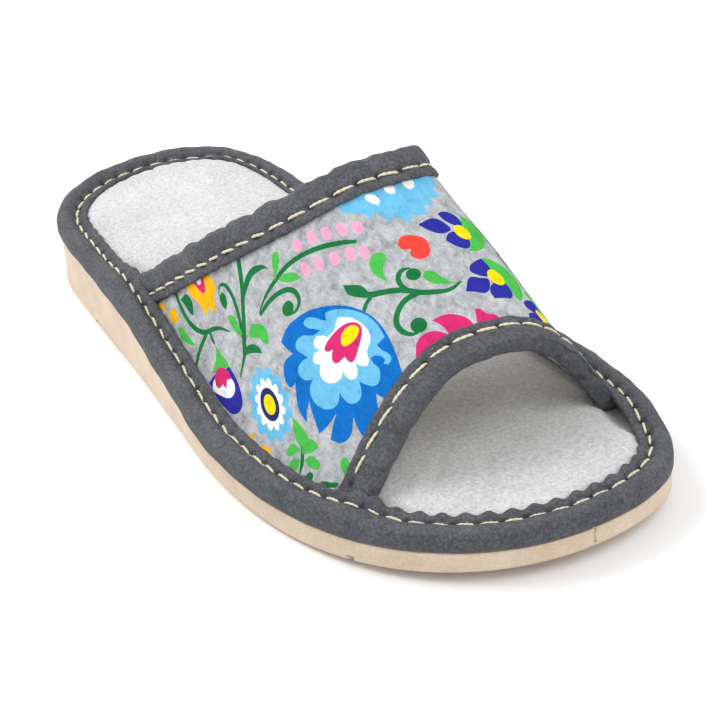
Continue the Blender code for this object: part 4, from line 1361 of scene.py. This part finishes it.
def skin_line(local, pitch, past, height, seed, pucker, drawn_in, crown):
    """One lengthwise line of the skin: how far past the cut edge and over the face it lies."""
    rise = 0.0 * local
    if is_skin(past, height):
        rise = strip_relief(local, pitch, past, height, seed, pucker)
    if past > NOSE_START:
        turn = math.atan2(height + UPPER_WALL / 2, past / OPENING_NOSE * (UPPER_WALL / 2 + OVER))
        past_all = past + rise * math.cos(turn) - drawn_in * crown * math.cos(turn)
        return past_all, height + rise * math.sin(turn)
    wave = STRIP_WAVE * (np.abs(np.sin(math.pi * local / pitch)) - 0.6)
    wave = wave * (1 + 0.6 * wander(local, ((0.023, 1.0),), seed + 3))
    past_all = past + (DRAWN_UNDER * drawn_in * crown - wave) * bell(past + REACH, 0.0014)
    if height > -UPPER_WALL / 2:
        return past_all, height + rise
    slim = 0.0 if height > UNDER_SKIN else DRAWN_UNDER * drawn_in
    return past_all, height + (slim - rise)


def skin_painted_light(local, pitch, past, height):
    """Painted shade, dark in the needle holes, and a painted highlight, a little lighter, on the fold.
    """
    hole = bell(to_hole(local, pitch), 0.0009) * bell(past + REACH - OPENING_SEAM, 0.0009)
    return -hole * is_skin(past, height) + 0.2 * (past > NOSE_START)


# %% The strip and its two seams
WANTED_PITCH, COLUMNS_PER_STITCH = 0.0066, 10


def ways_at(places, table, free):
    """The free direction at some places along a strip, given in the numbers of a table."""
    return unit(np.column_stack([np.interp(places, table, column) for column in free.T]))


def folded_strip(name, edge, free_way, seed, pucker, drawn_in):
    """A folded strip and where its seam lies on both faces. drawn_in narrows it over the crown."""
    across, free, run = strip_base(edge, free_way)
    first, last = strip_ends(across, steep_arch(across, edge(across)))
    length = run[last] - run[first]
    count = round(length / WANTED_PITCH)
    columns = count * COLUMNS_PER_STITCH
    wanted = run[first] + np.arange(columns + 1) / columns * length
    at = np.interp(wanted, run, across)
    local = wanted - run[first]
    pitch = length / count
    crown = 1.0 - 0.75 * smooth_step(-0.5, 0.95, at)
    lines, painted_lights = [], []
    for past, height in strip_section():
        flat_past, flat_height = np.full(len(across), past), np.full(len(across), height)
        plain = strip_points(edge, across, free, flat_past, flat_height)
        first_here, last_here = strip_ends(across, plain)
        share = (at - across[first]) / (across[last] - across[first])
        here = across[first_here] + share * (across[last_here] - across[first_here])
        skin = skin_line(local, pitch, past, height, seed, pucker, drawn_in, crown)
        skin_past, skin_height = (value + 0.0 * local for value in skin)
        lines.append(strip_points(edge, here, ways_at(here, across, free), skin_past, skin_height))
        # Each line of the section carries the painted shade of the holes and the painted highlight of
        # the fold.
        painted_lights.append(skin_painted_light(local, pitch, past, height))
    points = np.stack(lines, axis=1)
    piece = net(name, points, painted_light=np.stack(painted_lights, axis=1), round_way=True, close_ends=True)
    holes = np.arange(count + 1) * pitch
    hole_across = np.interp(holes + run[first], run, across)
    hole_ways = ways_at(holes + run[first], run, free)
    past = np.full(count + 1, OPENING_SEAM - REACH)
    seams = []
    for height in (OVER * 0.86 - 0.0004, -UPPER_WALL - OVER + 0.0005 + DRAWN_UNDER * drawn_in):
        places = strip_points(edge, hole_across, hole_ways, past, np.full(count + 1, height))
        ups = outward(hole_across, edge(hole_across)) * (1 if height > 0 else -1)
        seams.append((places, ups))
    print(name, "length", round(length, 3), "m,", count, "stitches,", len(piece.data.polygons), "faces")
    return piece, points, seams


collar_made = folded_strip("collar_strip", collar_edge, 1.0, seed=61, pucker=0.00044, drawn_in=0.0)
toe_made = folded_strip("toe_strip", toe_edge, -1.0, seed=71, pucker=0.00026, drawn_in=0.0018)
collar_strip, collar_points, collar_seams = collar_made
toe_strip, toe_points, toe_seams = toe_made
say_fit("collar_binding", collar_points)
say_fit("toe_binding", toe_points)

# %% [markdown]
# ## Thread
#
# The seams are sewn with thick cream thread. One stitch is modelled from a cylinder: two plies
# twisted round each other, its ends bent down into the holes. It is copied to every pair of
# holes and the copies are joined.

# %% One stitch
STITCH_ROWS, PLY_DEPTH, PLY_TWIST = 13, 0.20, 6.2
bpy.ops.object.select_all(action="DESELECT")
bpy.ops.mesh.primitive_cylinder_add(vertices=10, radius=1.0, depth=2.0, end_fill_type="TRIFAN")
stitch = bpy.context.object
in_edit_mode(stitch, merge_and_turn)
bpy.ops.object.mode_set(mode="EDIT")
shape = bmesh.from_edit_mesh(stitch.data)
uprights = [edge for edge in shape.edges if abs(edge.verts[0].co.z - edge.verts[1].co.z) > 1.5]
bmesh.ops.subdivide_edges(shape, edges=uprights, cuts=STITCH_ROWS, use_grid_fill=True)
bmesh.update_edit_mesh(stitch.data)
bpy.ops.object.mode_set(mode="OBJECT")
flat = got(stitch.data)
angle = np.arctan2(flat[:, 1], flat[:, 0])
away = np.hypot(flat[:, 0], flat[:, 1])
t = flat[:, 2]
plies = 1 + PLY_DEPTH * np.cos(2 * (angle + PLY_TWIST * t))
thick = plies * (1 - 0.35 * np.abs(t) ** 4) * np.where(away < 0.5, 0.0, 1.0)
put(stitch.data, np.column_stack((t, np.cos(angle) * thick, np.sin(angle) * thick)))
STITCH_SHAPE = got(stitch.data)

# %% Sewing every seam
THREAD_RADIUS, SLANT, STITCH_GAP = 0.00039, 0.00022, 0.00048
STITCH_ARC, STITCH_DIVE, STITCH_LIFT = 0.00030, 0.00060, 0.0001


def sew(places, ups, closed):
    """Stitch points between neighbouring holes: a low arc whose ends go down into the holes."""
    made = []
    draws = np.random.default_rng(len(places))
    starts = range(len(places) if closed else len(places) - 1)
    for row in starts:
        lean, longer = SLANT * draws.uniform(0.3, 1.9), draws.uniform(-0.00012, 0.00022)
        a, b = places[row], places[(row + 1) % len(places)]
        up = unit(ups[row] + ups[(row + 1) % len(places)])
        way = unit(b - a)
        up = unit(up - way * (up @ way))
        out = np.cross(way, up)
        half = np.linalg.norm(b - a) / 2 - STITCH_GAP + longer
        t = STITCH_SHAPE[:, 0]
        arc = STITCH_ARC * (1 - np.abs(t) ** 2.4) - STITCH_DIVE * np.abs(t) ** 7
        middle = (a + b) / 2 + out * lean * t[:, None]
        height = arc + STITCH_SHAPE[:, 2] * THREAD_RADIUS
        line = middle + way * (t * half)[:, None] + up * height[:, None]
        made.append(line + out * (STITCH_SHAPE[:, 1] * THREAD_RADIUS)[:, None])
    return made


edge_holes = np.arange(EDGE_STITCHES) * PER_STITCH
hole_inset = EDGE_SEAM + HEEL_REACH * edge_heel[edge_holes]
edge_places = edge_line[edge_holes] + edge_inwards[edge_holes] * hole_inset[:, None]
lift = edge_relief(EDGE_SEAM)
between = (lift[edge_holes] + lift[(edge_holes + PER_STITCH // 2) % len(lift)]) / 2
hole_y, hole_side = edge_line[edge_holes, 1], edge_side[edge_holes]
edge_level = flap_top(hole_y, hole_side) + between + STITCH_LIFT
edge_level = edge_level - drawn_down(EDGE_SEAM, hole_y, hole_side)
edge_places = np.column_stack((edge_places, edge_level))
edge_ups = np.tile((0.0, 0.0, 1.0), (EDGE_STITCHES, 1))
stitches = sew(edge_places, edge_ups, closed=True)
for places, ups in collar_seams + toe_seams:
    stitches += sew(places[1:-1], ups[1:-1], closed=False)
copies = []
for points in stitches:
    copy = bpy.data.objects.new("stitch", stitch.data.copy())
    bpy.context.scene.collection.objects.link(copy)
    put(copy.data, points)
    copies.append(copy)
bpy.data.objects.remove(stitch, do_unlink=True)
thread = joined(copies)
thread.name = thread.data.name = "thread"
in_edit_mode(thread, turn_outwards)
bpy.ops.object.shade_smooth()
print("thread:", len(stitches), "stitches,", len(thread.data.polygons), "faces")

# %% [markdown]
# ## Materials
#
# Each finish is built from noise at the size of its own grain, in object coordinates, so a
# millimetre in the material is a millimetre on the slipper.

# %% A small kit for node trees
def rgb(red, green, blue):
    """A colour as seen on a screen, as the light that the shader works with."""
    return tuple((channel / 255.0) ** 2.2 for channel in (red, green, blue)) + (1.0,)


class Finish:
    """A material with a Principled shader and short ways to add nodes to it."""

    def __init__(self, name, roughness, **sockets):
        self.material = bpy.data.materials.new(name)
        self.material.use_nodes = True
        self.tree = self.material.node_tree
        self.shader = self.tree.nodes["Principled BSDF"]
        self.shader.inputs["Roughness"].default_value = roughness
        for socket, value in sockets.items():
            self.shader.inputs[socket.replace("_", " ")].default_value = value
        self.place = self.tree.nodes.new("ShaderNodeTexCoord").outputs["Object"]
        self.height = None

    def node(self, kind, inputs=(), **settings):
        made = self.tree.nodes.new("ShaderNode" + kind)
        for setting, value in settings.items():
            setattr(made, setting, value)
        for socket, value in dict(inputs).items():
            if isinstance(value, bpy.types.NodeSocket):
                self.tree.links.new(value, made.inputs[socket])
            else:
                made.inputs[socket].default_value = value
        return made

    def noise(self, scale, detail=4.0, rough=0.6, stretch=None, distortion=0.0):
        """Noise between about 0.3 and 0.7. Its grain is one over scale, in metres."""
        place = self.place
        if stretch:
            place = self.node("Mapping", {"Vector": place, "Scale": stretch}).outputs[0]
        inputs = {"Vector": place, "Scale": scale, "Detail": detail, "Roughness": rough,
                  "Distortion": distortion}
        return self.node("TexNoise", inputs).outputs["Fac"]

    def ramp(self, value, stops):
        made = self.node("ValToRGB", {"Fac": value})
        points = made.color_ramp.elements
        while len(points) < len(stops):
            points.new(0.5)
        for point, (place, colour) in zip(points, stops):
            point.position = place
            point.color = colour
        return made.outputs["Color"]

    def mix(self, share, first, second, blend="MIX"):
        made = self.node("Mix", data_type="RGBA", blend_type=blend)
        for index, value in ((0, share), (6, first), (7, second)):
            if isinstance(value, bpy.types.NodeSocket):
                self.tree.links.new(value, made.inputs[index])
            else:
                made.inputs[index].default_value = value
        return made.outputs[2]

    def calc(self, operation, first, second):
        return self.node("Math", {0: first, 1: second}, operation=operation).outputs[0]

    def sum_of(self, *parts):
        """Adds up values, each times its share."""
        total = None
        for value, share in parts:
            part = self.calc("MULTIPLY", value, share)
            total = part if total is None else self.calc("ADD", total, part)
        return total

    def colour(self, value):
        self.tree.links.new(value, self.shader.inputs["Base Color"])

    def bump(self, value, distance, strength=1.0):
        """One more layer of fine relief, on top of those before it."""
        inputs = {"Height": value, "Distance": distance, "Strength": strength}
        if self.height:
            inputs["Normal"] = self.height
        self.height = self.node("Bump", inputs).outputs[0]
        self.tree.links.new(self.height, self.shader.inputs["Normal"])


# %% Charcoal nubuck of the bindings
NUBUCK_SHADES = ((0.36, rgb(60, 61, 65)), (0.50, rgb(79, 80, 84)), (0.64, rgb(103, 104, 108)))
# Painted shade colour for the needle holes and painted highlight colour for the rim and fold.
HOLE_SHADE_PAINT, HIGHLIGHT_PAINT = rgb(18, 18, 20), rgb(112, 113, 116)
nubuck = Finish("charcoal_nubuck", 0.74, Specular_IOR_Level=0.35)
cloud = nubuck.noise(95, 3, 0.6)
grain = nubuck.noise(1150, 4, 0.72, distortion=0.3)
skin = nubuck.ramp(nubuck.sum_of((cloud, 0.25), (grain, 0.75)), NUBUCK_SHADES)
# The strips' attribute darkens the needle holes as painted shade and lightens the rim and fold as a
# painted highlight.
painted_light = nubuck.node("Attribute", attribute_name="painted_light").outputs["Fac"]
dark = nubuck.calc("MAXIMUM", nubuck.calc("MULTIPLY", painted_light, -1.0), 0.0)
painted_highlight = nubuck.calc("MAXIMUM", nubuck.calc("MULTIPLY", painted_light, 0.6), 0.0)
skin = nubuck.mix(nubuck.calc("MINIMUM", dark, 0.95), skin, HOLE_SHADE_PAINT)
nubuck.colour(nubuck.mix(painted_highlight, skin, HIGHLIGHT_PAINT))
nubuck.bump(nubuck.noise(620, 3, 0.6, distortion=0.5), 0.00045, 0.8)
nubuck.bump(nubuck.noise(1700, 4, 0.72), 0.00026, 0.9)

# %% Grey microsuede of the insole
SUEDE_SHADES = ((0.36, rgb(172, 172, 172)), (0.50, rgb(199, 199, 198)), (0.64, rgb(219, 219, 217)))
suede_sockets = {"Sheen_Weight": 0.06, "Sheen_Roughness": 0.45, "Specular_IOR_Level": 0.3}
suede = Finish("grey_microsuede", 0.92, **suede_sockets)
nap = suede.noise(950, 4, 0.8)
patches = suede.noise(38, 4, 0.6, distortion=0.6)
suede.colour(suede.ramp(suede.sum_of((nap, 0.78), (patches, 0.22)), SUEDE_SHADES))
suede.bump(suede.noise(420, 3, 0.6), 0.00030, 0.5)
suede.bump(suede.noise(1500, 4, 0.75), 0.00026, 0.8)

# %% Tan foam of the sole
FOAM_SHADES = ((0.32, rgb(186, 164, 142)), (0.50, rgb(209, 189, 167)), (0.68, rgb(226, 208, 188)))
foam = Finish("tan_foam", 0.72)
specks = foam.noise(1500, 5, 0.75)
foam_patch = foam.noise(60, 3, 0.55)
foam.colour(foam.ramp(foam.sum_of((specks, 0.55), (foam_patch, 0.45)), FOAM_SHADES))
pores = foam.node("TexVoronoi", {"Vector": foam.place, "Scale": 1100.0}).outputs["Distance"]
foam.bump(pores, 0.00018, 0.35)
foam.bump(specks, 0.00014, 0.5)

# %% Heather felt with its ink
HEATHER = ((0.38, rgb(124, 127, 130)), (0.45, rgb(154, 157, 159)),
           (0.53, rgb(182, 184, 186)), (0.62, rgb(206, 207, 208)))
INK_SHADES = ((0.36, (0.62, 0.62, 0.64, 1)), (0.50, (0.92, 0.92, 0.92, 1)), (0.62, (1.0, 1.0, 1.0, 1)))
INK_COVER = 0.985
wool = Finish("printed_heather_felt", 0.95, Sheen_Weight=0.0, Specular_IOR_Level=0.08)
fibres = wool.noise(1500, 6, 0.8, distortion=1.2)
streaks = wool.noise(900, 5, 0.7, stretch=(1.0, 0.28, 1.0), distortion=0.8)
mottle = wool.noise(260, 4, 0.65, distortion=0.5)
blend = wool.sum_of((fibres, 0.34), (streaks, 0.26), (mottle, 0.40))
ink = wool.node("Attribute", attribute_name="ink")
inked = wool.mix(1.0, ink.outputs["Color"], wool.ramp(blend, INK_SHADES), "MULTIPLY")
cover = wool.calc("MULTIPLY", ink.outputs["Alpha"], INK_COVER)
wool.colour(wool.mix(cover, wool.ramp(blend, HEATHER), inked))
wool.bump(wool.noise(500, 4, 0.65), 0.00030, 0.45)
wool.bump(wool.noise(2300, 5, 0.8), 0.00022, 0.7)

# %% Cream lining and cream thread
KNIT_SHADES = ((0.35, rgb(214, 205, 186)), (0.65, rgb(238, 232, 216)))
YARN_SHADES = ((0.32, rgb(196, 186, 152)), (0.52, rgb(221, 213, 182)), (0.68, rgb(238, 232, 208)))
knit = Finish("cream_lining", 0.9)
rib_inputs = {"Vector": knit.place, "Scale": 420.0, "Distortion": 1.5}
rib = knit.node("TexWave", rib_inputs, bands_direction="X").outputs["Fac"]
knit.colour(knit.ramp(knit.noise(700, 4, 0.7), KNIT_SHADES))
knit.bump(rib, 0.00020, 0.5)
knit.bump(knit.noise(1800, 4, 0.7), 0.00012, 0.5)
yarn = Finish("cream_thread", 0.62)
yarn.colour(yarn.ramp(yarn.noise(1900, 4, 0.7), YARN_SHADES))
yarn.bump(yarn.noise(3200, 3, 0.7), 0.00010, 0.6)

# %% Who wears what, and what rides on the slipper
PIECES = (
    (sole, foam, "sole_foam", "outsole"),
    (insole, suede, "insole_suede", "insole"),
    (edge_strip, nubuck, "binding_leather", "edge_binding"),
    (felt, wool, "printed_felt", "upper"),
    (lining, knit, None, None),
    (collar_strip, nubuck, "binding_leather", "collar_binding"),
    (toe_strip, nubuck, "binding_leather", "toe_binding"),
    (thread, yarn, None, None),
)
for piece, finish, slot, node in PIECES:
    piece.data.materials.clear()
    piece.data.materials.append(finish.material)
    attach(piece, "root")
    if node:
        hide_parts(node)

# %% [markdown]
# ## Floor, light and camera
#
# The slipper stands on a white table under soft light from behind and from the left, so the
# felt and the binding's rounded edge catch it. The camera keeps the photograph's place over
# the slipper and is only turned to it and zoomed in.

# %% Floor
bpy.ops.object.select_all(action="DESELECT")
bpy.ops.mesh.primitive_plane_add(size=6.0, location=(0.0, 0.0, -0.0002))
floor = bpy.context.object
floor.name = "floor"
floor_finish = Finish("white_table", 0.6)
floor_finish.shader.inputs["Base Color"].default_value = (0.93, 0.93, 0.93, 1.0)
floor.data.materials.append(floor_finish.material)
floor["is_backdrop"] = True

# %% Light
STUDIO_LIGHT, STUDIO_STRENGTH = (0.98, 0.99, 1.0, 1.0), 0.80
world = bpy.data.worlds.new("studio")
bpy.context.scene.world = world
world.use_nodes = True
studio = world.node_tree.nodes["Background"].inputs
studio["Color"].default_value = STUDIO_LIGHT
studio["Strength"].default_value = STUDIO_STRENGTH


def soft_light(name, place, size, power):
    """A large square lamp that faces the slipper."""
    lamp = bpy.data.lights.new(name, "AREA")
    lamp.shape = "SQUARE"
    lamp.size = size
    lamp.energy = power
    light = bpy.data.objects.new(name, lamp)
    light.location = place
    light.rotation_euler = (-Vector(place)).to_track_quat("-Z", "Y").to_euler()
    bpy.context.scene.collection.objects.link(light)


soft_light("key", (0.55, -0.55, 0.95), 0.7, 9.0)
soft_light("fill", (-0.5, 0.6, 0.9), 0.9, 5.0)

# %% Camera
TILT, TURN = math.radians(26.1), math.radians(-144.0)
EYE = Vector((0.2398, 0.5159, 0.3280))
LENS, SENSOR, NEAR, FAR = 112.4, 36.0, 0.01, 20.0
forward = Vector((math.sin(TURN) * math.cos(TILT), math.cos(TURN) * math.cos(TILT), -math.sin(TILT)))
right = Vector((math.cos(TURN), -math.sin(TURN), 0.0))
up = right.cross(forward)
PHOTO_FOCUS, SHOE_FROM_MIDDLE = 953.0, (-148.5, -69.4)
aim = forward + right * (SHOE_FROM_MIDDLE[0] / PHOTO_FOCUS) + up * (SHOE_FROM_MIDDLE[1] / PHOTO_FOCUS)
turned = forward.rotation_difference(aim)
held = Matrix((right, up, -forward)).transposed().to_quaternion()
lens = bpy.data.cameras.new("camera")
lens.lens, lens.sensor_width = LENS, SENSOR
lens.clip_start, lens.clip_end = NEAR, FAR
camera = bpy.data.objects.new("camera", lens)
camera.location = EYE
camera.rotation_mode = "QUATERNION"
camera.rotation_quaternion = turned @ held
bpy.context.scene.collection.objects.link(camera)
bpy.context.scene.camera = camera
bpy.context.scene.view_settings.view_transform = "Standard"

# %% Size, and the end
low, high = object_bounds()
print("visual box", [round(value, 4) for value in (*low, *high)])
